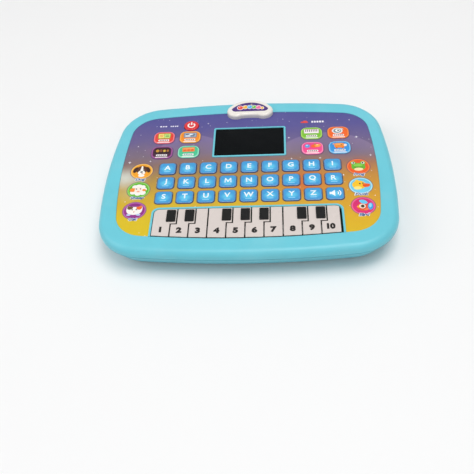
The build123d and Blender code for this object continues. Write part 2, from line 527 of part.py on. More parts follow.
with BuildPart() as battery_contacts:
    for y, side in CELL_ROWS:
        gap = BAY_L - 0.8 - CELL_L - NUB_L  # room left for the spring at the cell's flat end
        for end in (-1, 1):
            with BuildSketch(Plane.YZ.offset(end * CELL_END)):
                with Locations((y, CELL_Z)):
                    RectangleRounded(11.0, 11.0, 1.5)
            extrude(amount=end * 0.4)
        with BuildLine() as coil:
            Helix((gap - WIRE_R) / 3, gap - WIRE_R, SPRING_R, (-side * CELL_END, y, CELL_Z), (side, 0, 0))
        with BuildSketch(Plane(coil.edges()[0] @ 0, z_dir=coil.edges()[0] % 0)):
            Circle(WIRE_R)
        sweep(path=coil.edges()[0])
battery_contacts.part.label = "battery_contacts"
export_step(battery_contacts.part, "parts/battery_contacts.step")

with BuildPart() as battery_door:
    low, high = DOOR_LOW_Y + DOOR_GAP, DOOR_HIGH_Y - DOOR_GAP
    slab((HINGE_X, low), (DOOR_END - DOOR_GAP, high), BACK_Z, BACK_Z + DOOR_T)
    with BuildSketch(Plane.XZ.offset(-high)):
        with Locations((HINGE_X, HINGE_Z)):
            Circle(KNUCKLE_R)
    extrude(amount=high - low)
    with BuildSketch(Plane.XZ.offset(-high - TRUNNION_L)):
        with Locations((HINGE_X, HINGE_Z)):
            Circle(TRUNNION_R)
    extrude(amount=high - low + 2 * TRUNNION_L)
    # finger ribs across the door's outside and a countersunk hole for its screw
    for index in range(5):
        x = 12.0 + index * 3.0
        slab((x, BAY_Y - 8.0), (x + 1.2, BAY_Y + 8.0), BACK_Z, BACK_Z + 0.5, 0, Mode.SUBTRACT)
    posts([(DOOR_SCREW_X, BAY_Y)], SCREW_R + 0.15, BACK_Z, BACK_Z + DOOR_T, Mode.SUBTRACT)
    posts([(DOOR_SCREW_X, BAY_Y)], SCREW_HEAD_R + 0.3, BACK_Z, BACK_Z + 0.9, Mode.SUBTRACT)
battery_door.part.label = "battery_door"
export_step(battery_door.part, "parts/battery_door.step")


# ---------------------------------------------------------------- screws and feet
def cross_recess(spots, z, depth, size):
    """Cuts a cross-shaped driver recess upward from z at each spot."""
    with BuildSketch(Plane.XY.offset(z)) as cross:
        with Locations(*spots):
            Rectangle(size, size / 3.6)
            Rectangle(size / 3.6, size)
    extrude(cross.sketch, amount=depth, mode=Mode.SUBTRACT)


with BuildPart() as cover_screws:
    posts(COVER_POSTS, SCREW_HEAD_R, SCREW_SEAT - SCREW_HEAD_H, SCREW_SEAT)
    posts(COVER_POSTS, SCREW_R, SCREW_SEAT, DECK_Z - 1.2)
    cross_recess(COVER_POSTS, SCREW_SEAT - SCREW_HEAD_H, 1.2, 3.0)
cover_screws.part.label = "cover_screws"
export_step(cover_screws.part, "parts/cover_screws.step")

with BuildPart() as board_screws:
    posts(BOARD_POSTS, 1.9, BOARD_Z - 1.4, BOARD_Z)
    posts(BOARD_POSTS, 0.9, BOARD_Z, DECK_Z - 0.6)
    cross_recess(BOARD_POSTS, BOARD_Z - 1.4, 0.8, 2.2)
board_screws.part.label = "board_screws"
export_step(board_screws.part, "parts/board_screws.step")

with BuildPart() as door_screw:
    posts([(DOOR_SCREW_X, BAY_Y)], SCREW_HEAD_R, BACK_Z + 0.1, BACK_Z + 0.9)
    posts([(DOOR_SCREW_X, BAY_Y)], SCREW_R, BACK_Z + 0.9, 10.0)
    cross_recess([(DOOR_SCREW_X, BAY_Y)], BACK_Z + 0.1, 0.6, 3.0)
door_screw.part.label = "door_screw"
export_step(door_screw.part, "parts/door_screw.step")

with BuildPart() as rubber_feet:
    posts(FEET, FOOT_R, 0.0, BACK_Z + FOOT_SEAT)
    fillet(rubber_feet.faces().group_by(Axis.Z)[0].edges(), 0.4)
rubber_feet.part.label = "rubber_feet"
export_step(rubber_feet.part, "parts/rubber_feet.step")


# ---------------------------------------------------------------- leads
def leads(points, spacing, radius=0.6):
    """Two insulated wires side by side along a smooth line through the points."""
    with BuildPart() as pair:
        for shift in (-spacing / 2, spacing / 2):
            with BuildLine() as run:
                Spline(*[(x, y + shift, z) for x, y, z in points])
            with BuildSketch(Plane(run.edges()[0] @ 0, z_dir=run.edges()[0] % 0)):
                Circle(radius)
            sweep(path=run.edges()[0])
    return pair.part


LEAD_TOP = BOARD_Z - 0.25
battery_run = [(-34.0, 20.0, 8.0), (-40.0, 21.0, 12.0), (-46.0, 22.0, 15.5), (-48.0, 22.0, LEAD_TOP)]
battery_leads = leads(battery_run, 4.0)
battery_leads.label = "battery_leads"
export_step(battery_leads, "parts/battery_leads.step")

speaker_run = [(6.0, 12.0, 9.2), (8.0, 16.0, 12.0), (8.0, 18.0, 16.0), (8.0, 18.5, LEAD_TOP)]
speaker_leads = leads([(SPEAKER_X + x, SPEAKER_Y + y, z) for x, y, z in speaker_run], 3.0)
speaker_leads.label = "speaker_leads"
export_step(speaker_leads, "parts/speaker_leads.step")
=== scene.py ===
"""Toy learning computer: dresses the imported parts, prints their legends and pictures, and lights them.

All lengths named with _mm are millimetres in the parts' own frame: +X to the user's right, +Y away
from the user, +Z up, the origin on the table under the middle of the casing.
"""

import logging
import math
from dataclasses import dataclass
from enum import Enum
from typing import Sequence

import bmesh
import bpy
from mathutils import Matrix, Vector


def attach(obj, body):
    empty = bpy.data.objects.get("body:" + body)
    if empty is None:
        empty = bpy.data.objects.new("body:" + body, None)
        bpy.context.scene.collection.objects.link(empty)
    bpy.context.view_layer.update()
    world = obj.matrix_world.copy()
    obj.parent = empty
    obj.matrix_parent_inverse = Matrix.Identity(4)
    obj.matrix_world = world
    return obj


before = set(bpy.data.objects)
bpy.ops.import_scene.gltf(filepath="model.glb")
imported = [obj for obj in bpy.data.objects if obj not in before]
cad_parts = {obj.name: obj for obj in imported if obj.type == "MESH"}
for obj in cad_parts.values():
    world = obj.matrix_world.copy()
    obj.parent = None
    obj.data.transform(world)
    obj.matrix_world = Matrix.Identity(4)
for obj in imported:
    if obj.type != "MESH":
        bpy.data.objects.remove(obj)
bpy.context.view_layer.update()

log = logging.getLogger("toy_computer")

MM = 0.001
Point = tuple[float, float]
Colour = tuple[float, float, float, float]
Node, Socket, Tree = bpy.types.Node, bpy.types.NodeSocket, bpy.types.NodeTree


def tint(code: str) -> Colour:
    """Linear colour of a six-digit hex colour code.

    Args:
        code: Red, green and blue as two hex digits each.

    Returns:
        The colour in linear light with full alpha.
    """
    parts = [int(code[i:i + 2], 16) / 255 for i in (0, 2, 4)]
    red, green, blue = (c / 12.92 if c <= 0.04045 else ((c + 0.055) / 1.055) ** 2.4 for c in parts)
    return (red, green, blue, 1.0)


# ------------------------------------------------------------------------------------ node desk


class Desk:
    """A small workbench over one node tree, for a material or for a node group."""

    def __init__(self, tree: Tree) -> None:
        """Takes the tree to work on.

        Args:
            tree: The node tree that new nodes go into.
        """
        self.tree = tree
        self.count = 0

    def node(self, kind: str, **settings: object) -> Node:
        """Adds a node.

        Args:
            kind: Blender's name of the node type.
            settings: Attributes to set on it.

        Returns:
            The new node.
        """
        made = self.tree.nodes.new(kind)
        made.location = (220 * (self.count % 12), -260 * (self.count // 12))
        self.count += 1
        for name, value in settings.items():
            setattr(made, name, value)
        return made

    def feed(self, socket: Socket, value: object) -> None:
        """Links a socket to another one, or sets its value.

        Args:
            socket: The input socket.
            value: An output socket, a number, a vector or a colour.
        """
        if isinstance(value, Socket):
            self.tree.links.new(value, socket)
        else:
            socket.default_value = value

    def math(self, op: str, a: object, b: object = None, clamp: bool = False) -> Socket:
        """Adds a Math node.

        Args:
            op: The operation's name.
            a: First input.
            b: Second input, where the operation has one.
            clamp: Keeps the result between 0 and 1.

        Returns:
            The result's socket.
        """
        made = self.node("ShaderNodeMath", operation=op, use_clamp=clamp)
        self.feed(made.inputs[0], a)
        if b is not None:
            self.feed(made.inputs[1], b)
        return made.outputs[0]

    def plus(self, a: object, b: object, clamp: bool = False) -> Socket:
        """The sum of two values."""
        return self.math("ADD", a, b, clamp=clamp)

    def less(self, a: object, b: object, clamp: bool = False) -> Socket:
        """The first value less the second."""
        return self.math("SUBTRACT", a, b, clamp=clamp)

    def times(self, a: object, b: object, clamp: bool = False) -> Socket:
        """The product of two values."""
        return self.math("MULTIPLY", a, b, clamp=clamp)

    def reach(self, a: object, b: object) -> Socket:
        """The length of a flat step with these two parts."""
        return self.math("SQRT", self.plus(self.math("POWER", a, 2.0), self.math("POWER", b, 2.0)))

    def mix(self, factor: object, a: object, b: object) -> Socket:
        """Mixes two colours.

        Args:
            factor: How much of b.
            a: The colour under.
            b: The colour over.

        Returns:
            The mixed colour's socket.
        """
        made = self.node("ShaderNodeMix", data_type="RGBA", clamp_factor=True)
        self.feed(made.inputs[0], factor)
        self.feed(made.inputs[6], a)
        self.feed(made.inputs[7], b)
        return made.outputs[2]

    def span(self, value: object, low: float, high: float, to_low: float = 0.0, to_high: float = 1.0,
             smooth: bool = False) -> Socket:
        """Maps a range of values onto another, clamped.

        Args:
            value: The value to map.
            low: Start of the range.
            high: End of the range.
            to_low: What low becomes.
            to_high: What high becomes.
            smooth: Eases in and out.

        Returns:
            The mapped value's socket.
        """
        made = self.node("ShaderNodeMapRange", interpolation_type="SMOOTHSTEP" if smooth else "LINEAR")
        for socket, item in zip(made.inputs, (value, low, high, to_low, to_high)):
            self.feed(socket, item)
        return made.outputs[0]

    def ramp(self, value: object, stops: Sequence[tuple[float, Colour]]) -> Socket:
        """Adds a colour ramp.

        Args:
            value: Where on the ramp, 0 to 1.
            stops: Place and colour of each stop.

        Returns:
            The colour's socket.
        """
        made = self.node("ShaderNodeValToRGB")
        elements = made.color_ramp.elements
        elements[0].position, elements[0].color = stops[0]
        elements[1].position, elements[1].color = stops[-1]
        for place, colour in stops[1:-1]:
            elements.new(place).color = colour
        self.feed(made.inputs[0], value)
        return made.outputs[0]

    def noise(self, vector: object, scale: float, detail: float = 3.0, rough: float = 0.5) -> Socket:
        """Adds a noise texture and gives its value.

        Args:
            vector: Where to read it.
            scale: Cycles per unit of the vector.
            detail: Octaves.
            rough: How strong the fine octaves are.

        Returns:
            The value's socket.
        """
        made = self.node("ShaderNodeTexNoise")
        self.feed(made.inputs["Vector"], vector)
        self.feed(made.inputs["Scale"], scale)
        self.feed(made.inputs["Detail"], detail)
        self.feed(made.inputs["Roughness"], rough)
        return made.outputs[0]

    def shaded(self, colour: object, value: object) -> Socket:
        """A colour with its value multiplied."""
        made = self.node("ShaderNodeHueSaturation")
        self.feed(made.inputs["Color"], colour)
        self.feed(made.inputs["Value"], value)
        return made.outputs[0]

    def dots(self, vector: object, scale: float) -> Socket:
        """How far a point is from the nearest of many scattered dots."""
        made = self.node("ShaderNodeTexVoronoi")
        self.feed(made.inputs["Vector"], vector)
        made.inputs["Scale"].default_value = scale
        return made.outputs["Distance"]

    def patch(self, x: object, y: object, centre: Point, half: Point, corner: float, edge: float) -> Node:
        """Places the rounded_patch group.

        Args:
            x: The point's place to the right.
            y: The point's place away.
            centre: The patch's middle.
            half: Half its width and half its depth.
            corner: Its corner radius.
            edge: How soft its edge is.

        Returns:
            The group node.
        """
        return self.group("rounded_patch", X=x, Y=y, Centre_X=centre[0], Centre_Y=centre[1], Half_X=half[0],
                          Half_Y=half[1], Corner=corner, Edge=edge)

    def group(self, name: str, **inputs: object) -> Node:
        """Places one of the shared node groups.

        Args:
            name: The group's name.
            inputs: Its inputs by name, with underscores for spaces.

        Returns:
            The group node.
        """
        made = self.node("ShaderNodeGroup", node_tree=groups.get(name))
        for name, value in inputs.items():
            self.feed(made.inputs[name.replace("_", " ")], value)
        return made


class GroupMaker:
    """Makes the shader node groups that several finishes share, each of them once."""

    def __init__(self) -> None:
        """Starts with no groups made."""
        self.made: dict[str, Tree] = {}

    def get(self, name: str) -> Tree:
        """Gives a group, and makes it if this is its first use.

        Args:
            name: The group's name, which is also the name of the method that builds it.

        Returns:
            The group's tree.
        """
        if name not in self.made:
            self.made[name] = getattr(self, name)()
        return self.made[name]

    @staticmethod
    def start(name: str, inputs: dict[str, tuple[str, object]],
              outputs: dict[str, str]) -> tuple[Desk, Node, Node]:
        """Starts a group with its sockets.

        Args:
            name: The group's name.
            inputs: Socket name to its kind, such as Float, and its default.
            outputs: Socket name to its kind.

        Returns:
            A desk on the group, its input node and its output node.
        """
        tree = bpy.data.node_groups.new(name, "ShaderNodeTree")
        for title, (kind, default) in inputs.items():
            socket = tree.interface.new_socket(title, in_out="INPUT", socket_type="NodeSocket" + kind)
            socket.default_value = default
        for title, kind in outputs.items():
            tree.interface.new_socket(title, in_out="OUTPUT", socket_type="NodeSocket" + kind)
        desk = Desk(tree)
        return desk, desk.node("NodeGroupInput"), desk.node("NodeGroupOutput")

    def place(self) -> Tree:
        """The point on the part in millimetres, which stays with the part when it moves."""
        outputs = {"Point": "Vector", "X": "Float", "Y": "Float", "Z": "Float"}
        desk, _, result = self.start("place", {}, outputs)
        where = desk.node("ShaderNodeTexCoord")
        scaled = desk.node("ShaderNodeVectorMath", operation="SCALE")
        desk.feed(scaled.inputs[0], where.outputs["Object"])
        scaled.inputs["Scale"].default_value = 1000.0
        split = desk.node("ShaderNodeSeparateXYZ")
        desk.feed(split.inputs[0], scaled.outputs[0])
        desk.feed(result.inputs["Point"], scaled.outputs[0])
        for axis in "XYZ":
            desk.feed(result.inputs[axis], split.outputs[axis])
        return desk.tree

    def moulded_skin(self) -> Tree:
        """The fine spark-etched grain of a plastic mould, with the slow shade changes of its flow."""
        desk, given, result = self.start(
            "moulded_skin",
            {"Point": ("Vector", (0, 0, 0)), "Grain": ("Float", 6.0), "Flow": ("Float", 0.03)},
            {"Height": "Float", "Shade": "Float"})
        point, grain, flow = (given.outputs[name] for name in ("Point", "Grain", "Flow"))
        fine = desk.noise(point, grain, 2.0)
        waves = desk.noise(point, 0.05, 3.0, 0.55)
        desk.feed(result.inputs["Height"], desk.plus(fine, desk.times(waves, 0.35)))
        drift = desk.times(desk.less(waves, 0.5), flow)
        desk.feed(result.inputs["Shade"], desk.plus(1.0, drift))
        return desk.tree

    def handling(self) -> Tree:
        """Faint smears and hair-fine scratches that handling leaves, as a mask."""
        desk, given, result = self.start(
            "handling", {"Point": ("Vector", (0, 0, 0)), "Amount": ("Float", 1.0)}, {"Smear": "Float"})
        point = given.outputs["Point"]
        smear = desk.span(desk.noise(point, 0.035, 4.0, 0.6), 0.48, 0.72, smooth=True)
        stretched = desk.node("ShaderNodeMapping")
        desk.feed(stretched.inputs["Vector"], point)
        stretched.inputs["Rotation"].default_value = (0, 0, 0.6)
        stretched.inputs["Scale"].default_value = (0.05, 1.6, 0.4)
        lines = desk.span(desk.noise(stretched.outputs[0], 1.0, 2.0, 0.4), 0.66, 0.72)
        both = desk.plus(smear, desk.times(lines, 0.5), clamp=True)
        desk.feed(result.inputs["Smear"], desk.times(both, given.outputs["Amount"]))
        return desk.tree

    def rounded_patch(self) -> Tree:
        """How far a point lies outside a rounded rectangle in plan, and a soft mask of its inside."""
        names = ("X", "Y", "Centre X", "Centre Y", "Half X", "Half Y", "Corner", "Edge")
        desk, given, result = self.start(
            "rounded_patch", {name: ("Float", 0.1) for name in names}, {"Distance": "Float", "Mask": "Float"})
        x, y, cx, cy, hx, hy, corner, edge = (given.outputs[name] for name in names)
        parts = []
        for value, centre, half in ((x, cx, hx), (y, cy, hy)):
            out = desk.less(desk.math("ABSOLUTE", desk.less(value, centre)), half)
            parts.append(desk.plus(out, corner))
        over = [desk.math("MAXIMUM", part, 0.0) for part in parts]
        length = desk.reach(over[0], over[1])
        inner = desk.math("MINIMUM", desk.math("MAXIMUM", parts[0], parts[1]), 0.0)
        distance = desk.less(desk.plus(length, inner), corner)
        desk.feed(result.inputs["Distance"], distance)
        soft = desk.less(0.5, desk.math("DIVIDE", distance, edge), clamp=True)
        desk.feed(result.inputs["Mask"], soft)
        return desk.tree

    def key_lattice(self) -> Tree:
        """The place of a point inside its own letter key's square, for the caps and for the print and painted
        shade round them.
        """
        desk, given, result = self.start(
            "key_lattice",
            {"X": ("Float", 0.0), "Y": ("Float", 0.0), "Pitch": ("Float", 17.25), "Column": ("Float", 1.2),
             "Row": ("Float", -13.7)},
            {"U": "Float", "V": "Float", "Inside": "Float"})
        x, y, pitch, column, row = (given.outputs[name] for name in ("X", "Y", "Pitch", "Column", "Row"))
        half = desk.times(pitch, 0.5)
        run = desk.less(x, column)
        u = desk.less(desk.math("FLOORED_MODULO", desk.plus(run, half), pitch), half)
        rise = desk.less(y, row)
        v = desk.less(desk.math("FLOORED_MODULO", desk.plus(rise, half), pitch), half)
        wide = desk.math("LESS_THAN", desk.math("ABSOLUTE", run), desk.times(pitch, 4.5))
        deep = desk.math("LESS_THAN", desk.math("ABSOLUTE", rise), desk.times(pitch, 1.5))
        desk.feed(result.inputs["U"], u)
        desk.feed(result.inputs["V"], v)
        desk.feed(result.inputs["Inside"], desk.times(wide, deep))
        return desk.tree

    def print_screen(self) -> Tree:
        """Printed ink: a colour broken very slightly by the printer's dots and by uneven ink."""
        desk, given, result = self.start(
            "print_screen",
            {"Point": ("Vector", (0, 0, 0)), "Colour": ("Color", (1, 1, 1, 1)), "Break": ("Float", 0.05)},
            {"Colour": "Color", "Height": "Float"})
        point = given.outputs["Point"]
        uneven = desk.plus(desk.times(desk.dots(point, 5.0), 0.6), desk.noise(point, 0.4, 3.0))
        shift = desk.times(desk.less(uneven, 0.8), given.outputs["Break"])
        desk.feed(result.inputs["Colour"], desk.shaded(given.outputs["Colour"], desk.plus(1.0, shift)))
        desk.feed(result.inputs["Height"], uneven)
        return desk.tree

    def framed_button(self) -> Tree:
        """A printed button laid over a colour: a face, a paler rim round it and a dark line outside."""
        names = ("X", "Y", "Centre X", "Centre Y", "Half X", "Half Y", "Corner", "Rim Width")
        inputs = {name: ("Float", 1.0) for name in names}
        inputs.update({name: ("Color", (1, 1, 1, 1)) for name in ("Under", "Face", "Rim", "Line")})
        desk, given, result = self.start("framed_button", inputs, {"Colour": "Color"})
        socket = given.outputs
        patch = desk.group("rounded_patch", Edge=0.25)
        for name in names[:7]:
            desk.feed(patch.inputs[name], socket[name])
        away = patch.outputs["Distance"]
        near = desk.less(1.0, desk.math("DIVIDE", away, 0.9), clamp=True)
        lined = desk.mix(near, socket["Under"], socket["Line"])
        rimmed = desk.mix(patch.outputs["Mask"], lined, socket["Rim"])
        inner = desk.times(desk.plus(away, socket["Rim Width"]), -3.0, clamp=True)
        lift = desk.span(desk.less(socket["Y"], socket["Centre Y"]), -9.0, 9.0, 1.08, 0.9)
        desk.feed(result.inputs["Colour"], desk.mix(inner, rimmed, desk.shaded(socket["Face"], lift)))
        return desk.tree


groups = GroupMaker()


# ------------------------------------------------------------------------------------- finishes


class Skin(Desk):
    """A desk over a material's tree that knows its shader and the point in millimetres."""

    def __init__(self, tree: Tree) -> None:
        """Takes the tree and starts it.

        Args:
            tree: The material's empty tree.
        """
        super().__init__(tree)
        shader = self.node("ShaderNodeBsdfPrincipled")
        result = self.node("ShaderNodeOutputMaterial")
        self.feed(result.inputs["Surface"], shader.outputs[0])
        self.inputs = shader.inputs
        place = self.group("place").outputs
        self.point, self.x, self.y, self.z = (place[name] for name in ("Point", "X", "Y", "Z"))

    def set(self, **values: object) -> None:
        """Feeds the shader's inputs, named with underscores for spaces."""
        for name, value in values.items():
            self.feed(self.inputs[name.replace("_", " ")], value)

    def bump(self, height: object, depth_mm: float) -> None:
        """Feeds a height in 0 to 1 to the shader as a bump.

        Args:
            height: The height's socket.
            depth_mm: How deep the bump is.
        """
        made = self.node("ShaderNodeBump")
        made.inputs["Strength"].default_value = 1.0
        made.inputs["Distance"].default_value = depth_mm * MM
        self.feed(made.inputs["Height"], height)
        self.set(Normal=made.outputs[0])

    def smears(self, amount: float) -> Socket:
        """The mask of the traces that handling has left."""
        return self.group("handling", Point=self.point, Amount=amount).outputs[0]

    def handled(self, gloss: float, amount: float, gain: float) -> Socket:
        """Feeds the shader a roughness that rises where handling has left its smears.

        Args:
            gloss: The roughness of the clean surface.
            amount: How much handling it has had.
            gain: How much rougher a smear is.

        Returns:
            The smears' mask.
        """
        smear = self.smears(amount)
        self.set(Roughness=self.plus(gloss, self.times(smear, gain)))
        return smear

    def printed(self, colour: object, break_up: float, depth_mm: float | None) -> None:
        """Feeds the shader a printed colour and the ink's own relief.

        Args:
            colour: The ink's colour.
            break_up: How much the printer's dots break it.
            depth_mm: Depth of the relief, or nothing for none.
        """
        ink = self.group("print_screen", Point=self.point, Colour=colour, Break=break_up)
        self.set(Base_Color=ink.outputs["Colour"])
        if depth_mm is not None:
            self.bump(ink.outputs["Height"], depth_mm)

    def moulded(self, grain: float, flow: float, depth_mm: float) -> Socket:
        """Gives the surface its mould's grain.

        Args:
            grain: How fine the grain is.
            flow: How strong the slow flow shades are.
            depth_mm: Depth of the grain.

        Returns:
            The flow shade, about 1.
        """
        made = self.group("moulded_skin", Point=self.point, Grain=grain, Flow=flow)
        self.bump(made.outputs["Height"], depth_mm)
        return made.outputs["Shade"]


@dataclass(frozen=True)
class Finish:
    """What every finish has: a name, and a way to make its material once."""

    name: str

    def surface(self, skin: Skin) -> None:
        """Builds the nodes that feed the shader.

        Args:
            skin: The desk on the material's tree.
        """
        raise NotImplementedError

    def material(self) -> bpy.types.Material:
        """Makes the material, or gives it if it is already made.

        Returns:
            The material.
        """
        known = bpy.data.materials.get(self.name)
        if known is not None:
            return known
        made = bpy.data.materials.new(self.name)
        made.use_nodes = True
        made.node_tree.nodes.clear()
        self.surface(Skin(made.node_tree))
        return made


@dataclass(frozen=True)
class MouldedPlastic(Finish):
    """Moulded ABS: one colour through, a fine grain, slow flow shades and traces of handling."""

    colour: Colour
    gloss: float = 0.34
    grain: float = 5.0
    depth_mm: float = 0.012
    coat: float = 0.0
    seam_mm: float | None = None

    def surface(self, skin: Skin) -> None:
        """Builds the plastic, with painted shade along the seam where it has one."""
        shade = skin.moulded(self.grain, 0.1, self.depth_mm)
        smear = skin.handled(self.gloss, 0.6, 0.14)
        colour = skin.mix(skin.times(smear, 0.05), skin.shaded(self.colour, shade), tint("f4f6f6"))
        if self.seam_mm is not None:
            # Painted shade: a darker cyan line along the parting seam at seam_mm, for the shade in the gap
            # between the covers.
            gap = skin.math("ABSOLUTE", skin.less(skin.z, self.seam_mm))
            seam_shade = skin.less(1.0, skin.math("DIVIDE", gap, 0.35), clamp=True)
            colour = skin.mix(skin.times(seam_shade, 0.55), colour, tint("1d5a68"))
        skin.set(Base_Color=colour, IOR=1.5, Coat_Weight=self.coat, Coat_Roughness=0.12)


@dataclass(frozen=True)
class PrintedInk(Finish):
    """A printed ink on the panel, the keys or the badge."""

    colour: Colour
    gloss: float = 0.3
    break_up: float = 0.06

    def surface(self, skin: Skin) -> None:
        """Builds the ink."""
        skin.printed(self.colour, self.break_up, 0.004)
        skin.handled(self.gloss, 0.5, 0.15)


@dataclass(frozen=True)
class LetterCap(Finish):
    """The letter keys: cyan in the middle, deeper blue round it, a dull blue edge and painted shade on the
    sides.
    """

    middle: Colour = tint("5cc6ea")
    body: Colour = tint("3a9bd6")
    edge: Colour = tint("5a8ac0")
    # Painted shade on the cap's sides, for the gap round the key.
    side: Colour = tint("27306e")
    half_mm: float = 6.95

    def surface(self, skin: Skin) -> None:
        """Builds the cap by the lattice of the keys."""
        lattice = skin.group("key_lattice", X=skin.x, Y=skin.y)
        u, v = lattice.outputs["U"], lattice.outputs["V"]
        patch = skin.patch(u, v, (0.0, 0.0), (self.half_mm, self.half_mm), 3.0, 0.6)
        depth = skin.times(patch.outputs["Distance"], -1.0)
        glow = skin.reach(u, skin.times(skin.plus(v, 0.8), 1.25))
        colour = skin.mix(skin.span(glow, 1.5, 6.2, smooth=True), self.middle, self.body)
        colour = skin.mix(skin.span(depth, 1.5, 0.2, smooth=True), colour, self.edge)
        # Painted shade: below the cap's top the sides darken to navy, standing in for the shade in the gap
        # round the key.
        colour = skin.mix(skin.span(skin.z, 25.8, 26.5), self.side, colour)
        skin.printed(colour, 0.06, None)
        skin.handled(0.2, 0.8, 0.15)
        skin.set(Coat_Weight=0.4, Coat_Roughness=0.1)
        skin.moulded(3.0, 0.03, 0.006)


@dataclass(frozen=True)
class PianoPlastic(Finish):
    """The piano keys: warm ivory with painted shade on their sides, and the raised lands in matte black."""

    ivory: Colour = tint("d5cbc6")
    land: Colour = tint("0c0c0c")
    land_from_mm: float = 26.93

    def surface(self, skin: Skin) -> None:
        """Builds the key; height tells the land from the plate and the plate from its sides, which carry
        painted shade.
        """
        shade = skin.moulded(4.0, 0.08, 0.01)
        z = skin.z
        smear = skin.smears(0.8)
        # Painted shade: the sides below the key's top darken to grey, for the shade in the gaps between the
        # keys.
        deep = skin.span(z, 26.2, 26.75, 1.0, 0.0)
        ivory = skin.mix(deep, skin.shaded(self.ivory, shade), tint("4a4446"))
        worn = skin.mix(skin.times(smear, 0.08), ivory, tint("cfc3b4"))
        high = skin.span(z, self.land_from_mm, self.land_from_mm + 0.03)
        skin.set(Base_Color=skin.mix(high, worn, self.land))
        rough = skin.plus(0.24, skin.times(smear, 0.16))
        skin.set(Roughness=skin.plus(rough, skin.times(high, 0.22)), Specular_IOR_Level=0.3)


@dataclass(frozen=True)
class SmokedGlass(Finish):
    """The display's window: almost black acrylic with a very faint tint and fine dust."""

    colour: Colour = tint("0b0e10")

    def surface(self, skin: Skin) -> None:
        """Builds the window."""
        smear = skin.handled(0.07, 1.0, 0.04)
        specks = skin.span(skin.dots(skin.point, 0.9), 0.06, 0.03)
        lift = skin.plus(skin.times(specks, 0.06), skin.times(smear, 0.002))
        skin.set(Base_Color=skin.mix(lift, self.colour, tint("c9d2d6")))
        skin.set(IOR=1.16)
        skin.bump(skin.noise(skin.point, 0.08, 2.0), 0.02)


@dataclass(frozen=True)
class SoftRubber(Finish):
    """Moulded rubber or silicone: matte, with a fine bloom."""

    colour: Colour
    gloss: float = 0.7

    def surface(self, skin: Skin) -> None:
        """Builds the rubber."""
        bloom = skin.span(skin.noise(skin.point, 0.3, 4.0), 0.5, 0.8)
        skin.set(Base_Color=skin.mix(skin.times(bloom, 0.2), self.colour, tint("8a8a86")))
        skin.set(Roughness=skin.plus(self.gloss, skin.times(bloom, 0.15)))
        skin.moulded(2.5, 0.3, 0.03)


@dataclass(frozen=True)
class PlatedSteel(Finish):
    """Nickel-plated steel with fine turning marks and small tarnish spots."""

    colour: Colour = tint("b9b7b0")

    def surface(self, skin: Skin) -> None:
        """Builds the steel."""
        spots = skin.span(skin.noise(skin.point, 0.6, 4.0), 0.55, 0.75)
        skin.set(Base_Color=skin.mix(skin.times(spots, 0.35), self.colour, tint("6b6258")))
        skin.set(Metallic=1.0, Roughness=skin.plus(0.28, skin.times(spots, 0.25)))
        skin.bump(skin.noise(skin.point, 8.0, 1.0), 0.008)


@dataclass(frozen=True)
class BoardLaminate(Finish):
    """Dark solder mask with copper tracks just showing under it."""

    mask: Colour = tint("0b2417")
    track: Colour = tint("16402a")

    def surface(self, skin: Skin) -> None:
        """Builds the board."""
        cells = skin.node("ShaderNodeTexBrick", offset=0.5)
        skin.feed(cells.inputs["Vector"], skin.point)
        cells.inputs["Scale"].default_value = 0.35
        cells.inputs["Mortar Size"].default_value = 0.08
        tracks = cells.outputs["Fac"]
        skin.printed(skin.mix(tracks, self.mask, self.track), 0.1, None)
        skin.set(Roughness=skin.plus(0.32, skin.times(tracks, 0.1)))
        skin.bump(tracks, 0.03)


@dataclass(frozen=True)
class CellSleeve(Finish):
    """The cells' plain printed sleeve: a dark body with a copper band at the raised end."""

    body: Colour = tint("24262b")
    band: Colour = tint("c7923a")
    middle_cell_mm: float = 4.0

    def surface(self, skin: Skin) -> None:
        """Builds the sleeve; the middle cell lies the other way round."""
        away = skin.math("ABSOLUTE", skin.less(skin.y, self.middle_cell_mm))
        facing = skin.less(1.0, skin.times(skin.math("LESS_THAN", away, 7.5), 2.0))
        end = skin.span(skin.times(skin.x, facing), 11.5, 11.7)
        skin.printed(skin.mix(end, self.body, self.band), 0.05, 0.006)
        skin.set(Metallic=skin.times(end, 0.5), Roughness=0.3)


# ------------------------------------------------------------------------------ the printed panel


@dataclass(frozen=True)
class ButtonPrint:
    """One domed button's print: where it is, its half sizes and its colours."""

    x: float
    y: float
    half_x: float
    half_y: float
    corner: float
    face: Colour
    rim: Colour


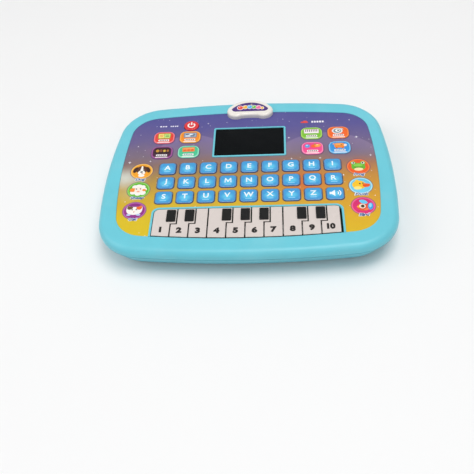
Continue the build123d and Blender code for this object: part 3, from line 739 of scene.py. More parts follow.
@dataclass(frozen=True)
class SkyPrint(Finish):
    """The panel's print: a dusk sky from violet at the back to yellow in front, with the buttons on it."""

    buttons: tuple[ButtonPrint, ...] = ()
    dusk: tuple[tuple[float, str], ...] = (
        (0.0, "d9bd12"), (0.14, "d8bb1a"), (0.26, "cfab26"), (0.38, "bd9638"), (0.47, "a18049"),
        (0.56, "876a60"), (0.64, "786779"), (0.76, "665a8a"), (0.88, "544f90"), (1.0, "4a4a90"))
    glows: tuple[tuple[float, float, float, str, float], ...] = (
        (47.0, -18.0, 30.0, "d4481c", 0.62), (94.0, 6.0, 18.0, "b8572c", 0.35),
        (-103.0, -6.0, 24.0, "e4f0ec", 0.62), (-96.0, -24.0, 18.0, "cfdcb0", 0.3),
        (-77.0, 28.0, 18.0, "a06a92", 0.3), (18.0, 70.0, 40.0, "5f5a9a", 0.4))
    discs: tuple[tuple[float, float, float], ...] = ((-50.0, 16.0, 32.0), (66.0, -6.0, 52.0))

    def sky(self, skin: Skin) -> Socket:
        """Builds the sky: the gradient, its clouds, the glows and the pale discs.

        Args:
            skin: The desk on the material's tree.

        Returns:
            The sky colour's socket.
        """
        point, x, y = skin.point, skin.x, skin.y
        cloud = skin.noise(point, 0.022, 4.0, 0.55)
        drift = skin.less(cloud, 0.5)
        level = skin.span(skin.plus(y, skin.times(drift, 34.0)), -78.0, 78.0)
        colour = skin.ramp(level, [(height, tint(code)) for height, code in self.dusk])
        warm = skin.span(x, -60.0, 105.0, smooth=True)
        front = skin.span(y, -84.0, -44.0, 0.45, 1.0, smooth=True)
        band = skin.times(skin.span(y, 22.0, -6.0, smooth=True), front)
        colour = skin.mix(skin.times(skin.times(warm, band), 0.42), colour, tint("dc8a1e"))
        for cx, cy, size, code, amount in self.glows:
            away = skin.reach(skin.less(x, cx), skin.times(skin.less(y, cy), 1.25))
            ragged = skin.plus(away, skin.times(drift, 26.0))
            colour = skin.mix(skin.span(ragged, size, 0.0, 0.0, amount, smooth=True), colour, tint(code))
        upper = skin.span(y, 8.0, 26.0, smooth=True)
        for cx, cy, radius in self.discs:
            away = skin.reach(skin.less(x, cx), skin.less(y, cy))
            inside = skin.span(away, radius, radius - 0.5)
            fade = skin.times(inside, skin.span(away, radius - 22.0, radius, 0.03, 0.2))
            colour = skin.mix(skin.times(fade, upper), colour, tint("b79fc4"))
        dust = skin.span(skin.dots(point, 0.17), 0.085, 0.03, 0.0, 0.75)
        return skin.mix(dust, colour, tint("f4eef6"))

    def surface(self, skin: Skin) -> None:
        """Builds the print: sky, key outlines with painted shade of the key gaps, buttons, and the ink's own
        texture.
        """
        colour = self.sky(skin)
        x, y = skin.x, skin.y
        lattice = skin.group("key_lattice", X=x, Y=y)
        # A dark ring round each key: a printed outline, and painted shade of the gap round the key.
        key_ring_print_and_shade = skin.patch(lattice.outputs["U"], lattice.outputs["V"], (0.0, 0.0), (7.7, 7.7), 3.6, 0.5)
        outline = skin.times(key_ring_print_and_shade.outputs["Mask"], lattice.outputs["Inside"])
        colour = skin.mix(skin.times(outline, 0.6), colour, tint("3f3a6b"))
        for button in self.buttons:
            colour = skin.group(
                "framed_button", X=x, Y=y, Under=colour, Face=button.face, Rim=button.rim,
                Line=tint("4a3b6e"), Centre_X=button.x, Centre_Y=button.y, Half_X=button.half_x,
                Half_Y=button.half_y, Corner=button.corner, Rim_Width=1.0).outputs["Colour"]
        skin.printed(colour, 0.06, 0.005)
        skin.handled(0.3, 0.8, 0.15)


# ----------------------------------------------------------------------------------- print shapes


@dataclass(frozen=True)
class Patch:
    """One area of ink: an outline in millimetres round the print's own middle."""

    ink: str
    outline: tuple[Point, ...]


def turned_by(points: Sequence[Point], x: float, y: float, turn: float) -> tuple[Point, ...]:
    """Turns points about the origin and moves them.

    Args:
        points: The points.
        x: How far to move them to the right.
        y: How far to move them away.
        turn: Degrees to turn them by first.

    Returns:
        The points in their new place.
    """
    c, s = math.cos(math.radians(turn)), math.sin(math.radians(turn))
    return tuple((x + u * c - v * s, y + u * s + v * c) for u, v in points)


def oval(ink: str, x: float, y: float, rx: float, ry: float, turn: float = 0.0, steps: int = 28) -> Patch:
    """An oval of ink.

    Args:
        ink: Colour code.
        x: Middle, to the right.
        y: Middle, away.
        rx: Half its width.
        ry: Half its height.
        turn: Turned by this many degrees.
        steps: Points round it.

    Returns:
        The patch.
    """
    angles = [2 * math.pi * step / steps for step in range(steps)]
    return Patch(ink, turned_by([(rx * math.cos(a), ry * math.sin(a)) for a in angles], x, y, turn))


def bar(ink: str, x: float, y: float, width: float, height: float, corner: float = 0.3,
        turn: float = 0.0) -> Patch:
    """A rounded bar of ink.

    Args:
        ink: Colour code.
        x: Middle, to the right.
        y: Middle, away.
        width: Across.
        height: Up and down.
        corner: Radius of its corners.
        turn: Turned by this many degrees.

    Returns:
        The patch.
    """
    radius = min(corner, width / 2, height / 2)
    points = []
    for quarter, (sx, sy) in enumerate(((1, 1), (-1, 1), (-1, -1), (1, -1))):
        for step in range(6):
            angle = math.pi / 2 * (quarter + step / 5)
            points.append((sx * (width / 2 - radius) + radius * math.cos(angle),
                           sy * (height / 2 - radius) + radius * math.sin(angle)))
    return Patch(ink, turned_by(points, x, y, turn))


def blob(ink: str, corners: Sequence[Point]) -> Patch:
    """A soft closed form: a polygon whose corners are cut twice.

    Args:
        ink: Colour code.
        corners: The polygon, in order round it.

    Returns:
        The patch.
    """
    points = list(corners)
    for _ in range(2):
        cut = []
        for (x0, y0), (x1, y1) in zip(points, points[1:] + points[:1]):
            cut.append((0.75 * x0 + 0.25 * x1, 0.75 * y0 + 0.25 * y1))
            cut.append((0.25 * x0 + 0.75 * x1, 0.25 * y0 + 0.75 * y1))
        points = cut
    return Patch(ink, tuple(points))


def sparkle(ink: str, x: float, y: float, reach: float) -> Patch:
    """A four-pointed star.

    Args:
        ink: Colour code.
        x: Middle, to the right.
        y: Middle, away.
        reach: From its middle to a point.

    Returns:
        The patch.
    """
    points = []
    for step in range(8):
        radius = reach if step % 2 == 0 else reach * 0.26
        angle = math.pi / 4 * step
        points.append((x + radius * math.cos(angle), y + radius * math.sin(angle)))
    return Patch(ink, tuple(points))


def give(name: str, body: str, mesh: bpy.types.Mesh, inks: Sequence[str]) -> bpy.types.Object:
    """Makes a print's object, inks it and gives it to its body.

    Args:
        name: The piece's name.
        body: The body it rides on.
        mesh: Its mesh, in the frame's metres.
        inks: Colour codes of its materials, in order.

    Returns:
        The piece.
    """
    for code in inks:
        mesh.materials.append(PrintedInk("ink_" + code, tint(code)).material())
    piece = bpy.data.objects.new(name, mesh)
    bpy.context.collection.objects.link(piece)
    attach(piece, body)
    log.info("print %s on %s", name, body)
    return piece


@dataclass
class InkSheet:
    """Lays patches of ink on a level face as one thin raised print, later patches over earlier ones."""

    name: str
    body: str
    slot: str
    centre: Point
    face_mm: float
    layer_mm: float = 0.012
    lift_mm: float = 0.004

    def lay(self, patches: Sequence[Patch]) -> bpy.types.Object:
        """Builds the print's mesh and gives it to its body.

        Args:
            patches: The patches, lowest first.

        Returns:
            The print.
        """
        mesh = bpy.data.meshes.new(self.name)
        built = bmesh.new()
        inks: list[str] = []
        for order, patch in enumerate(patches):
            if patch.ink not in inks:
                inks.append(patch.ink)
            low = self.face_mm + self.lift_mm
            high = low + self.layer_mm * (order + 1)
            bottom, top = ([built.verts.new(((self.centre[0] + x) * MM, (self.centre[1] + y) * MM, z * MM))
                            for x, y in patch.outline] for z in (low, high))
            faces = [built.faces.new(top), built.faces.new(list(reversed(bottom)))]
            for i in range(len(top)):
                j = (i + 1) % len(top)
                faces.append(built.faces.new((bottom[i], bottom[j], top[j], top[i])))
            for face in faces:
                face.material_index = inks.index(patch.ink)
        bmesh.ops.recalc_face_normals(built, faces=built.faces[:])
        built.to_mesh(mesh)
        built.free()
        return give(self.name, self.body, mesh, inks)


@dataclass
class Lettering:
    """Cuts a word from the plain built-in face and lays it on a level face as thin ink."""

    name: str
    body: str
    slot: str
    ink: str
    size_mm: float
    weight_mm: float = 0.25
    stretch: float = 1.0
    slant: float = 0.0
    turned: bool = False

    def lay(self, word: str, centre: Point, face_mm: float, thick_mm: float = 0.05) -> bpy.types.Object:
        """Builds the word's mesh and gives it to its body.

        Args:
            word: The letters or digits.
            centre: Its middle, in millimetres.
            face_mm: Height of the face under it.
            thick_mm: Thickness of the ink.

        Returns:
            The lettering.
        """
        curve = bpy.data.curves.new(self.name + "_line", "FONT")
        curve.body = word
        curve.size = self.size_mm * 1.38 * MM
        curve.offset = self.weight_mm * MM
        curve.shear = self.slant
        curve.extrude = thick_mm / 2 * MM
        curve.resolution_u = 3
        holder = bpy.data.objects.new(self.name + "_line", curve)
        bpy.context.collection.objects.link(holder)
        mesh = bpy.data.meshes.new_from_object(holder.evaluated_get(bpy.context.evaluated_depsgraph_get()))
        bpy.data.objects.remove(holder)
        bpy.data.curves.remove(curve)
        mesh.name = self.name
        xs = [v.co.x for v in mesh.vertices]
        ys = [v.co.y for v in mesh.vertices]
        middle = Vector(((min(xs) + max(xs)) / 2, (min(ys) + max(ys)) / 2, 0))
        target = Vector((centre[0] * MM, centre[1] * MM, (face_mm + thick_mm / 2 + 0.004) * MM))
        turn = Matrix.Rotation(math.pi if self.turned else 0.0, 4, "Z")
        mesh.transform(Matrix.Translation(target) @ turn @ Matrix.Diagonal((self.stretch, 1, 1, 1))
                       @ Matrix.Translation(-middle))
        weld = bmesh.new()
        weld.from_mesh(mesh)
        bmesh.ops.remove_doubles(weld, verts=weld.verts[:], dist=1e-7)
        bmesh.ops.recalc_face_normals(weld, faces=weld.faces[:])
        weld.to_mesh(mesh)
        weld.free()
        mesh.materials.clear()
        return give(self.name, self.body, mesh, [self.ink])


# --------------------------------------------------------------------------------------- pictures


class Mode(Enum):
    """The eight square mode buttons: place, face colour and rim colour."""

    BOOK = (-74.8, 44.5, "e0402f", "f27a86")
    BOARD = (-51.8, 44.5, "ee8a1c", "f7b04a")
    MEMORY = (-74.8, 24.7, "4a1a3c", "a4569a")
    TICKET = (-51.8, 24.7, "45c08e", "8fe2c2")
    PIANO = (54.6, 44.5, "79bd2e", "a6d85e")
    DISC = (77.6, 44.5, "f0641c", "f58a3a")
    FRUIT = (54.6, 24.7, "f0468c", "ff86b4")
    BOX = (77.6, 24.7, "2f93dc", "7cc6f2")

    def picture(self) -> list[Patch]:
        """Draws the button's little picture and its label.

        Returns:
            The patches, lowest first.
        """
        drawn = {
            Mode.BOOK: [bar("8fa83a", 0, 2.0, 11.0, 7.0, 0.8), bar("f2e07a", -2.6, 2.2, 4.8, 5.8, 0.5, 3),
                        bar("c9e27c", 2.6, 2.2, 4.8, 5.8, 0.5, -3)]
            + [bar(ink, side * 2.6, y, 3.2, 0.9, 0.2, side * -3) for y in (3.2, 1.2)
               for ink, side in (("e8823c", -1), ("5c9c4c", 1))],
            Mode.BOARD: [bar("6f7f95", 0, 2.2, 11.4, 6.6, 0.9), bar("a3b3c6", 0, 2.2, 10.0, 5.2, 0.5)]
            + [bar(ink, x, y, width, 1.3, 0.3) for ink, x, y, width in (
                ("4c5b73", -2.9, 3.2, 2.6), ("e9eef2", 0.6, 3.2, 2.6), ("4c5b73", 3.5, 3.2, 1.6),
                ("e9eef2", -2.2, 1.1, 3.8), ("4c5b73", 2.2, 1.1, 3.4))],
            Mode.MEMORY: [bar("2b1018", 0, 1.6, 13.4, 7.2, 1.2), oval("c8912e", -4.0, 1.9, 1.5, 1.8),
                          oval("8a4a28", -0.9, 2.1, 1.3, 1.7), bar("d9b23e", 2.0, 1.9, 2.0, 2.8, 0.4),
                          oval("a8682e", 4.8, 1.9, 1.1, 1.6)],
            Mode.TICKET: [bar("f0823a", 0, 2.6, 10.6, 5.6, 0.7, 2), bar("f8a765", 0, 3.6, 9.0, 1.4, 0.4, 2)]
            + [oval("e2602a", x, y, 1.2, 1.2) for x, y in ((-3.2, 1.8), (0.0, 1.9), (3.2, 2.0))],
            Mode.PIANO: [bar("d8b4be", 0, 2.4, 13.0, 5.6, 0.5), bar("f6eef0", 0, 2.2, 12.2, 4.8, 0.3)]
            + [bar("5a3c48", -4.8 + 1.6 * i, 3.1, 0.7, 2.9, 0.1) for i in range(7)],
            Mode.DISC: [oval("dfe6e8", -0.6, 1.9, 4.6, 3.9), oval("7d8a92", -0.6, 1.9, 3.4, 2.8),
                        oval("f2f6f7", -0.2, 2.2, 2.2, 1.7), oval("4a5258", 0.3, 2.3, 1.0, 0.8),
                        bar("c9d2d6", 3.6, 4.4, 2.6, 1.0, 0.4, -30)],
            Mode.FRUIT: [oval("5a9bd8", -4.2, 2.5, 2.2, 2.3), oval("bfe0f4", -4.6, 3.2, 0.8, 0.8),
                         oval("f4622c", 1.6, 2.2, 2.8, 2.2), oval("f9a23c", 4.6, 2.8, 2.6, 1.9, 12),
                         bar("6fae3a", 2.2, 4.8, 1.8, 0.8, 0.4, 30), oval("fde8b0", 4.2, 3.6, 0.9, 0.5)],
            Mode.BOX: [bar("f08a2c", 0, 2.2, 8.8, 6.2, 2.2), bar("f7ab5a", -0.5, 3.6, 6.2, 2.0, 0.9),
                       bar("d96a1c", -2.6, -0.9, 1.6, 1.6, 0.4), bar("d96a1c", 2.6, -0.9, 1.6, 1.6, 0.4),
                       oval("fbe3d2", 4.9, 2.4, 1.3, 1.5), oval("6d2f18", 1.6, 3.0, 0.45, 0.55),
                       bar("f7ab5a", -4.9, 4.3, 1.8, 0.9, 0.4, 40)],
        }[self]
        dark = {Mode.MEMORY: "6b4a63", Mode.TICKET: "4a7f8f", Mode.BOX: "2a5f9e"}.get(self, "7a4a52")
        label = [bar("f3f1ef", 0, -3.9, 9.6, 2.3, 1.0)]
        label += [bar(dark, -3.2 + 1.6 * i, -3.9, 1.1, 1.1, 0.2) for i in range(5)]
        foot = [bar("f6f3f2", 0, -6.55, 10.8, 0.85, 0.4)]
        return drawn + label + foot


class Animal(Enum):
    """The six round animal buttons: place, face colour, rim colour and the word under each."""

    DOG = (-89.7, 1.9, "f0a01e", "f6bf55", "Dog")
    SHEEP = (-89.7, -20.9, "5fb62c", "8fd35a", "Sheep")
    CAT = (-90.1, -44.6, "8e2a86", "b85cae", "Cat")
    FROG = (91.2, 0.3, "ea5a1c", "ee7f3a", "Frog")
    DUCK = (91.2, -22.5, "6cc6e6", "a8e2f2", "Duck")
    BIRD = (91.2, -45.2, "d8246e", "ee5c96", "Bird")

    def picture(self) -> list[Patch]:
        """Draws the animal's head.

        Returns:
            The patches, lowest first.
        """
        white, black = "f4f1ea", "17120f"
        eyes = [oval(black, side * 1.9, 0.9, 0.65, 0.8) for side in (-1, 1)]
        eyes += [oval(white, x, 1.2, 0.22, 0.25) for x in (-1.7, 2.1)]
        return {
            Animal.DOG: [
                oval(white, 0.3, -6.6, 3.0, 1.9),
                oval("5a2f17", 0, 1.6, 5.6, 5.3),
                blob("3c1d0e", [(-3.2, 5.6), (-6.6, 5.0), (-8.6, 1.0), (-8.0, -2.6), (-5.6, -2.4),
                                (-4.6, 1.2)]),
                blob("3c1d0e", [(3.2, 5.6), (4.6, 1.2), (5.6, -2.4), (8.0, -2.6), (8.6, 1.0), (6.6, 5.0)]),
                blob(white, [(-0.9, 6.8), (-1.0, 1.5), (-3.6, -1.6), (-3.4, -4.4), (0, -5.6), (3.4, -4.4),
                             (3.6, -1.6), (1.0, 1.5), (0.9, 6.8)]),
                oval(black, 0, -1.6, 1.3, 0.95),
                oval("c98a7a", 0.9, -4.0, 0.9, 0.6)] + eyes,
            Animal.SHEEP: [oval(white, x, y, r, r * 0.95) for x, y, r in (
                (0, 3.2, 4.0), (-3.6, 3.6, 2.6), (3.8, 3.4, 2.6), (-4.8, -3.8, 2.7), (4.4, -4.4, 3.0),
                (0, -5.2, 3.0), (5.6, 0.2, 2.4))] + [
                oval("f08a30", -5.2, -0.4, 3.0, 2.5, 15),
                oval("f08a30", 5.6, -0.8, 1.8, 1.5, -15),
                oval("fbe9dc", 0.2, -0.6, 3.7, 4.2),
                oval("f0a48c", 0.2, -2.6, 1.5, 0.9)] + eyes,
            Animal.CAT: [
                blob(white, [(-7.0, 6.6), (-7.6, -0.8), (-5.2, -4.8), (0, -6.0), (5.2, -4.8), (7.6, -0.8),
                             (7.0, 6.6), (2.8, 4.2), (-2.8, 4.2)]),
                blob("6b4a2e", [(-6.8, 6.2), (-6.9, 1.6), (-4.0, 0.4), (-1.6, 2.4), (-1.4, 4.2),
                                (-3.0, 4.4)]),
                blob("ee6a1e", [(6.8, 6.2), (3.0, 4.4), (1.4, 4.2), (1.8, 1.8), (4.2, 0.2), (6.9, 1.6)]),
                oval("f3b5a5", 0, -1.6, 0.9, 0.6),
                bar("6b4a2e", 0, -2.7, 0.3, 1.3, 0.1),
                oval("b9c8ea", -4.6, -5.8, 2.0, 1.2),
                oval("b9c8ea", 4.4, -5.8, 2.0, 1.2)] + eyes,
            Animal.FROG: [
                bar("63b22c", 0, -0.4, 12.8, 9.4, 4.0)]
            + [oval("63b22c", x, 4.3, 2.5, 2.4) for x in (-4.4, 4.4)]
            + [oval(white, x, 4.6, 1.6, 1.5) for x in (-4.5, 4.5)]
            + [oval(black, x, 4.6, 0.9, 1.0) for x in (-4.3, 4.3)] + [
                oval("f7dfa8", 0, -4.2, 4.2, 2.1),
                oval("86cc48", 0, 1.4, 4.2, 2.0),
                bar("3f7a1c", 0, -1.6, 7.4, 0.5, 0.25)],
            Animal.DUCK: [
                oval("f6c21e", -1.6, 0.6, 6.2, 5.6),
                oval("fbe07a", -3.0, -3.4, 3.6, 2.2),
                oval("f6c21e", -3.2, 5.8, 1.8, 1.5, 35),
                blob("ee5a1c", [(1.2, 0.6), (3.4, 2.8), (8.2, 1.6), (8.8, -0.2), (6.4, -2.6), (2.2, -2.4)]),
                bar("b83c10", 5.0, -0.2, 5.8, 0.4, 0.2, 8),
                oval(black, -0.6, 2.4, 0.8, 1.0),
                oval(black, 2.2, 2.9, 0.7, 0.9),
                oval(white, -0.4, 2.8, 0.28, 0.3),
                oval(white, 2.4, 3.2, 0.25, 0.28)],
            Animal.BIRD: [
                oval("e0552c", -0.6, -1.8, 5.0, 4.9),
                blob("66c6ee", [(-4.0, 6.8), (-2.2, 3.0), (2.0, 1.4), (4.6, 3.2), (1.4, 7.2)]),
                oval("3a9be0", 6.2, -1.2, 2.4, 4.4, -8),
                oval("8fdcf6", 6.0, -0.2, 1.3, 2.6, -8),
                oval("f2e2d2", -1.0, -1.0, 2.9, 2.9),
                oval("6b5a3c", -0.8, -1.0, 1.7, 1.9),
                oval(black, -0.6, -0.9, 0.9, 1.1),
                blob("f8b22c", [(-6.6, -1.6), (-3.8, 0.2), (-3.4, -3.4)]),
                oval("f07c4a", 2.4, -5.0, 2.2, 1.2, 20)],
        }[self]


# ----------------------------------------------------------------------------------- sub-assemblies


def dress(finish: Finish, *nodes: str) -> None:
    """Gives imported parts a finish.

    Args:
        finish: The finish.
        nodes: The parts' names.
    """
    made = finish.material()
    for name in nodes:
        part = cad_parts[name]
        part.data.materials.clear()
        part.data.materials.append(made)
        log.info("dressed %s with %s", name, finish.name)


def arc_band(ink: str, middle: Point, inner: float, outer: float, degrees: Sequence[int]) -> Patch:
    """A band of ink that follows an arc.

    Args:
        ink: Colour code.
        middle: The arc's middle.
        inner: Its inner radius.
        outer: Its outer radius.
        degrees: The angles along it.

    Returns:
        The patch.
    """
    arc = [math.radians(a) for a in degrees]
    out, back = ([(middle[0] + radius * math.cos(a), middle[1] + radius * math.sin(a)) for a in run]
                 for radius, run in ((outer, arc), (inner, arc[::-1])))
    return Patch(ink, tuple(out + back))


@dataclass
class Casing:
    """The two covers and the battery door, all of one pale cyan plastic, and the rubber feet."""

    # seam_mm sets where the painted seam shade runs round the casing.
    plastic: MouldedPlastic = MouldedPlastic("casing_cyan", tint("69c6d6"), 0.36, 4.0, seam_mm=19.0)
    foot: SoftRubber = SoftRubber("foot_rubber", tint("1b1c1e"))
    steel: PlatedSteel = PlatedSteel("plated_steel")

    def build(self) -> None:
        """Dresses the covers, the door, the screws and the feet."""
        dress(self.plastic, "front_cover", "rear_cover", "battery_door")
        dress(self.foot, "rubber_feet")
        dress(self.steel, "cover_screws", "board_screws", "door_screw", "piano_pivot_rod", "battery_contacts")


@dataclass
class Panel:
    """The printed panel: its sky, its domed buttons, their pictures, and the small print at its edges."""

    top_mm: float = 26.0
    dome_mm: float = 26.8
    animal_mm: float = 26.4
    mode_half: Point = (9.2, 7.8)
    animal_half: float = 9.3
    stars: tuple[tuple[float, float, float], ...] = (
        (-101.6, 13.3, 1.7), (-83.8, 14.2, 1.1), (92.8, 38.4, 1.6), (34.9, 40.0, 1.3), (36.5, 12.6, 1.1),
        (60.5, 12.6, 1.2), (102.6, 14.3, 1.3), (78.4, -9.2, 1.2), (-96.8, 34.0, 0.9), (-36.8, 63.0, 0.9),
        (30.0, 66.0, 0.8), (-99.0, -34.4, 0.8), (101.5, -34.0, 0.9), (88.5, 62.0, 0.9), (-20.0, 64.0, 0.7))

    def build(self) -> None:
        """Dresses the panel and lays every print on it."""
        shapes = [(mode.value, (*self.mode_half, 5.6)) for mode in Mode]
        shapes += [(animal.value, (self.animal_half,) * 3) for animal in Animal]
        buttons = [ButtonPrint(value[0], value[1], *size, tint(value[2]), tint(value[3]))
                   for value, size in shapes]
        dress(SkyPrint("panel_print", tuple(buttons)), "printed_panel")
        for mode in Mode:
            name = "print_mode_" + mode.name.lower()
            InkSheet(name, "casing", "panel", mode.value[:2], self.dome_mm).lay(mode.picture())
        for animal in Animal:
            self.animal(animal)
        self.sky_marks()
        self.small_print()

    def animal(self, animal: Animal) -> None:
        """Lays one animal's picture and its word.

        Args:
            animal: Which one.
        """
        x, y, _, _, word = animal.value
        stem = animal.name.lower()
        drawn = [Patch(p.ink, tuple((0.88 * u, 0.88 * v) for u, v in p.outline)) for p in animal.picture()]
        InkSheet("print_" + stem, "casing", "panel", (x, y), self.animal_mm).lay(drawn)
        under = (x, y - (10.4 if animal is Animal.DOG else 9.5))
        for suffix, ink, weight, thick in (("_line", "eef2f6", 0.45, 0.03), ("", "44689f", 0.12, 0.07)):
            line = Lettering("word_" + stem + suffix, "casing", "panel", ink, 3.0, weight, 1.12, 0.25)
            line.lay(word, under, self.top_mm, thick)

    def sky_marks(self) -> None:
        """Lays the sparkles of the sky."""
        patches = [sparkle("f7f4fb", x, y, reach) for x, y, reach in self.stars]
        InkSheet("print_sparkles", "casing", "panel", (0.0, 0.0), self.top_mm, 0.001).lay(patches)

    def small_print(self) -> None:
        """Lays the generic marks that stand in for small wording at the back of the panel."""
        left = [bar("e9e6f4", -84.0 + 0.8, 61.2, 0.9, 0.4, 0.2)]
        words = ((-79.4, 1.9), (-77.0, 1.5), (-74.8, 1.7), (-70.2, 1.3), (-68.4, 1.6), (-66.3, 1.3),
                 (-64.5, 1.5))
        left += [bar("e9e6f4", x, 60.8, width, 1.5, 0.5) for x, width in words]
        right = [bar("e0443a", 49.0, 60.6, 6.6, 2.0, 0.9), bar("e0443a", 49.6, 62.0, 3.4, 1.4, 0.6)]
        right += [bar("ece9f2", x, 60.9, 1.7, 2.5, 0.5) for x in (56.0, 58.3, 60.6, 62.9, 65.2)]
        InkSheet("print_small_marks", "casing", "panel", (0.0, 0.0), self.top_mm, 0.001).lay(left + right)


@dataclass
class LetterKeys:
    """Twenty-six letter keys and a sound key on an even pitch, each with its white legend."""

    pitch: float = 17.25
    middle: Point = (1.2, -13.7)
    top_mm: float = 26.8
    letters: str = "ABCDEFGHIJKLMNOPQRSTUVWXYZ"

    def spot(self, index: int) -> Point:
        """Middle of a key, counted along the rows from the back left."""
        x, y = self.middle
        return (x + (index % 9 - 4) * self.pitch, y + (1 - index // 9) * self.pitch)

    def build(self) -> None:
        """Dresses the caps and lays the legends."""
        names = ["key_" + letter.lower() for letter in self.letters] + ["key_sound"]
        dress(LetterCap("key_cap_blue"), *names)
        for index, letter in enumerate(self.letters):
            x, y = self.spot(index)
            if letter == "M":
                self.letter_m((x, y + 0.9), names[index])
            else:
                Lettering("legend_" + letter.lower(), names[index], "letter_key", "e6f3fa", 5.2, 0.2).lay(
                    letter, (x, y + 0.9), self.top_mm)
            InkSheet("underline_" + letter.lower(), names[index], "letter_key", (x, y), self.top_mm).lay(
                [bar("8ccdf3", 0, -3.9, 5.4, 0.7, 0.35)])
        self.sound(self.spot(26))

    def letter_m(self, middle: Point, body: str) -> None:
        """Lays the M as one outline, because the face's own strokes cross in it.

        Args:
            middle: The letter's middle.
            body: The key's body.
        """
        half = ((-2.85, -2.6), (-2.0, -2.6), (-1.85, 0.9), (-0.4, -2.0))
        top = ((0.0, -0.3), (-1.75, 2.6), (-2.6, 2.6))
        right = [(-x, y) for x, y in reversed(half)]
        outline = (*half, *right, (2.6, 2.6), (1.75, 2.6), *top)
        InkSheet("legend_m", body, "letter_key", middle, self.top_mm, 0.05).lay([Patch("e6f3fa", outline)])

    def sound(self, middle: Point) -> None:
        """Lays the loudspeaker sign on the last key.

        Args:
            middle: The key's middle.
        """
        white = "f4f7fb"
        sign = [Patch(white, ((-4.4, -1.2), (-2.6, -1.2), (0.0, -3.4), (0.0, 3.4), (-2.6, 1.2), (-4.4, 1.2)))]
        for radius in (2.0, 3.8):
            sign.append(arc_band(white, (0.7, 0.0), radius - 0.4, radius + 0.4, range(-48, 49, 12)))
        InkSheet("legend_sound", "key_sound", "letter_key", middle, self.top_mm).lay(sign)


@dataclass
class Piano:
    """Ten ivory keys with matte black lands and bold black numbers."""

    left: float = -74.1
    pitch: float = 14.63
    top_mm: float = 26.9
    number_front_mm: float = -69.2
    number_bow_mm: float = 2.4
    number_bow_half_mm: float = 66.0

    def build(self) -> None:
        """Dresses the keys and lays the numbers."""
        dress(PianoPlastic("piano_ivory"), *["piano_key_%d" % (i + 1) for i in range(10)])
        for index in range(10):
            x = self.left + (index + 0.5) * self.pitch
            y = self.number_front_mm + self.number_bow_mm * (x / self.number_bow_half_mm) ** 2
            digits = "6" if index == 8 else str(index + 1)
            stretch = 1.0 if index == 9 else 1.1
            number = Lettering("number_%d" % (index + 1), "piano_key_%d" % (index + 1), "piano_key", "17110f",
                               5.2, 0.5, stretch, turned=index == 8)
            number.lay(digits, (x, y), self.top_mm)


@dataclass
class PowerButton:
    """The round red button with the usual on-off sign."""

    x: float = -51.8
    y: float = 60.4
    top_mm: float = 26.8

    def build(self) -> None:
        """Dresses the button and lays its sign."""
        red = MouldedPlastic("power_red", tint("d8242c"), gloss=0.22, grain=3.0, depth_mm=0.006, coat=0.4)
        dress(red, "power_button")
        white = "f8efe9"
        sign = [arc_band(white, (0.0, 0.0), 2.3, 3.5, range(125, 416, 10)), bar(white, 0, 2.4, 1.3, 3.9, 0.5)]
        InkSheet("sign_power", "power_button", "power", (self.x, self.y), self.top_mm).lay(sign)


@dataclass
class Display:
    """The dark window and the display behind it."""

    def build(self) -> None:
        """Dresses the window and its module."""
        dress(SmokedGlass("smoked_glass"), "display_window")
        dress(BoardLaminate("module_laminate", tint("1c2430"), tint("2c3a4c")), "display_module")


@dataclass
class Badge:
    """The ivory badge at the back, with a purple inlay and a row of bright shapes in place of a name."""

    face_mm: float = 30.3
    middle: Point = (0.6, 78.7)

    def build(self) -> None:
        """Dresses the badge and lays the shapes on its inlay."""
        ivory = MouldedPlastic("badge_ivory", tint("ebe6de"), gloss=0.26, grain=3.0, depth_mm=0.008, coat=0.3)
        dress(ivory, "badge_frame")
        dress(PrintedInk("inlay_purple", tint("4b2f78"), 0.26, 0.12), "badge_inlay")
        shapes: list[Patch] = []
        row = (("e8483c", -8.8, 0.2, 2.4), ("f2b824", -4.4, 0.9, 2.0), ("4cb4e8", -0.3, 1.1, 2.1),
               ("6cc04a", 3.6, 0.9, 1.9), ("f06aa0", 7.6, 0.3, 2.2), ("f2b824", 11.0, -0.8, 1.3))
        for ink, x, y, radius in row:
            shapes.append(oval("f4eef2", x, y, radius + 0.55, radius + 0.75))
        for ink, x, y, radius in row:
            shapes.append(oval(ink, x, y, radius, radius + 0.2))
            shapes.append(oval("fbf6ee", x - 0.6, y + 0.8, 0.5, 0.4))
        shapes.append(sparkle("f7e8a0", 1.4, 4.8, 1.2))
        InkSheet("badge_shapes", "casing", "inlay", self.middle, self.face_mm, 0.004).lay(shapes)


@dataclass
class Insides:
    """What the covers hold: boards, rubber mats, loudspeaker, cells and leads."""

    def build(self) -> None:
        """Dresses every inner part."""
        dress(BoardLaminate("main_laminate"), "main_board")
        dress(SoftRubber("silicone_mat", tint("c9c8c2"), 0.55), "key_mat", "piano_mat")
        dress(SoftRubber("speaker_cone", tint("17171a"), 0.6), "speaker")
        dress(CellSleeve("cell_sleeve"), "battery_cells")
        dress(SoftRubber("lead_red", tint("b01c1c"), 0.4), "battery_leads")
        dress(SoftRubber("lead_blue", tint("20304a"), 0.4), "speaker_leads")


@dataclass(frozen=True)
class FloorPaper(Finish):
    """The pale paper under the toy."""

    colour: Colour = tint("f1f1f1")

    def surface(self, skin: Skin) -> None:
        """Builds the paper."""
        mottle = skin.noise(skin.point, 0.004, 3.0)
        skin.set(Base_Color=skin.mix(skin.times(mottle, 0.05), self.colour, tint("dfe3e6")),
                 Roughness=skin.plus(0.55, skin.times(mottle, 0.1)))
        skin.bump(skin.noise(skin.point, 1.2, 2.0), 0.02)


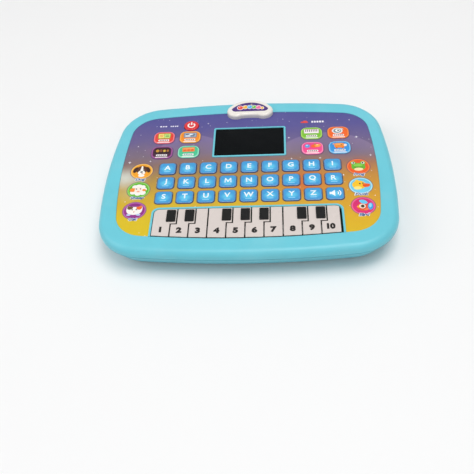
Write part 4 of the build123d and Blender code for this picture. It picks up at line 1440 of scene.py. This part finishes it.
@dataclass
class Studio:
    """A pale floor, soft lights and the camera."""

    lens_mm: float = 52.52
    eye: tuple[float, float, float] = (0.0287865, -0.4291027, 0.4141340)
    right: tuple[float, float, float] = (0.99747358, 0.0297737, -0.06449791)
    up: tuple[float, float, float] = (0.02138327, 0.7399804, 0.67228845)
    back: tuple[float, float, float] = (0.0677437, -0.67196915, 0.73747424)

    air: float = 0.45
    lamps: tuple[tuple[str, tuple[float, float, float], Point, float], ...] = (
        ("softbox_top", (0.25, -0.1, 1.7), (1.2, 1.0), 16.0),
        ("softbox_left", (-1.4, -0.1, 1.2), (1.0, 1.2), 7.0),
        ("softbox_front", (0.4, -1.6, 1.4), (1.4, 0.9), 3.5))

    def floor(self) -> None:
        """Lays the floor as a sheet that curves up far behind."""
        mesh = bpy.data.meshes.new("studio_floor")
        built = bmesh.new()
        profile = [(-2.5, 0.0)] + [(1.6 + 0.6 * math.sin(a), 0.6 - 0.6 * math.cos(a))
                                   for a in [math.radians(9 * i) for i in range(11)]] + [(2.2, 3.0)]
        rows = [[built.verts.new((x, y, z)) for y, z in profile] for x in (-3.0, 3.0)]
        for i in range(len(profile) - 1):
            built.faces.new((rows[0][i], rows[1][i], rows[1][i + 1], rows[0][i + 1]))
        built.to_mesh(mesh)
        built.free()
        mesh.materials.append(FloorPaper("floor_paper").material())
        floor = bpy.data.objects.new("studio_floor", mesh)
        bpy.context.collection.objects.link(floor)

    def lamp(self, name: str, place: tuple[float, float, float], size: Point, watts: float) -> None:
        """Hangs one soft panel light, turned to the toy.

        Args:
            name: The light's name.
            place: Where it hangs, in metres.
            size: Its width and height, in metres.
            watts: Its power.
        """
        light = bpy.data.lights.new(name, "AREA")
        light.shape = "RECTANGLE"
        light.size, light.size_y = size
        light.energy = watts
        holder = bpy.data.objects.new(name, light)
        holder.location = place
        holder.rotation_euler = (Vector((0, 0, 0)) - Vector(place)).to_track_quat("-Z", "Y").to_euler()
        bpy.context.collection.objects.link(holder)

    def camera(self) -> None:
        """Sets the camera."""
        data = bpy.data.cameras.new("camera")
        data.lens = self.lens_mm
        data.sensor_width = 36.0
        holder = bpy.data.objects.new("camera", data)
        turn = Matrix((self.right, self.up, self.back)).transposed().to_4x4()
        holder.matrix_world = Matrix.Translation(self.eye) @ turn
        bpy.context.collection.objects.link(holder)
        bpy.context.scene.camera = holder

    def build(self) -> None:
        """Sets the whole studio up."""
        world = bpy.data.worlds.new("studio_air")
        world.use_nodes = True
        background = world.node_tree.nodes["Background"].inputs
        background["Color"].default_value = (1.0, 1.0, 1.0, 1.0)
        background["Strength"].default_value = self.air
        bpy.context.scene.world = world
        bpy.context.scene.view_settings.view_transform = "Standard"
        self.floor()
        for lamp in self.lamps:
            self.lamp(*lamp)
        self.camera()


def main() -> None:
    """Builds every sub-assembly in order and sets up the studio."""
    logging.basicConfig(level=logging.INFO, format="%(name)s: %(message)s")
    for assembly in (Studio(), Casing(), Panel(), LetterKeys(), Piano(), PowerButton(), Display(), Badge(),
                     Insides()):
        assembly.build()
        log.info("built %s", type(assembly).__name__)


if __name__ == "__main__":
    main()
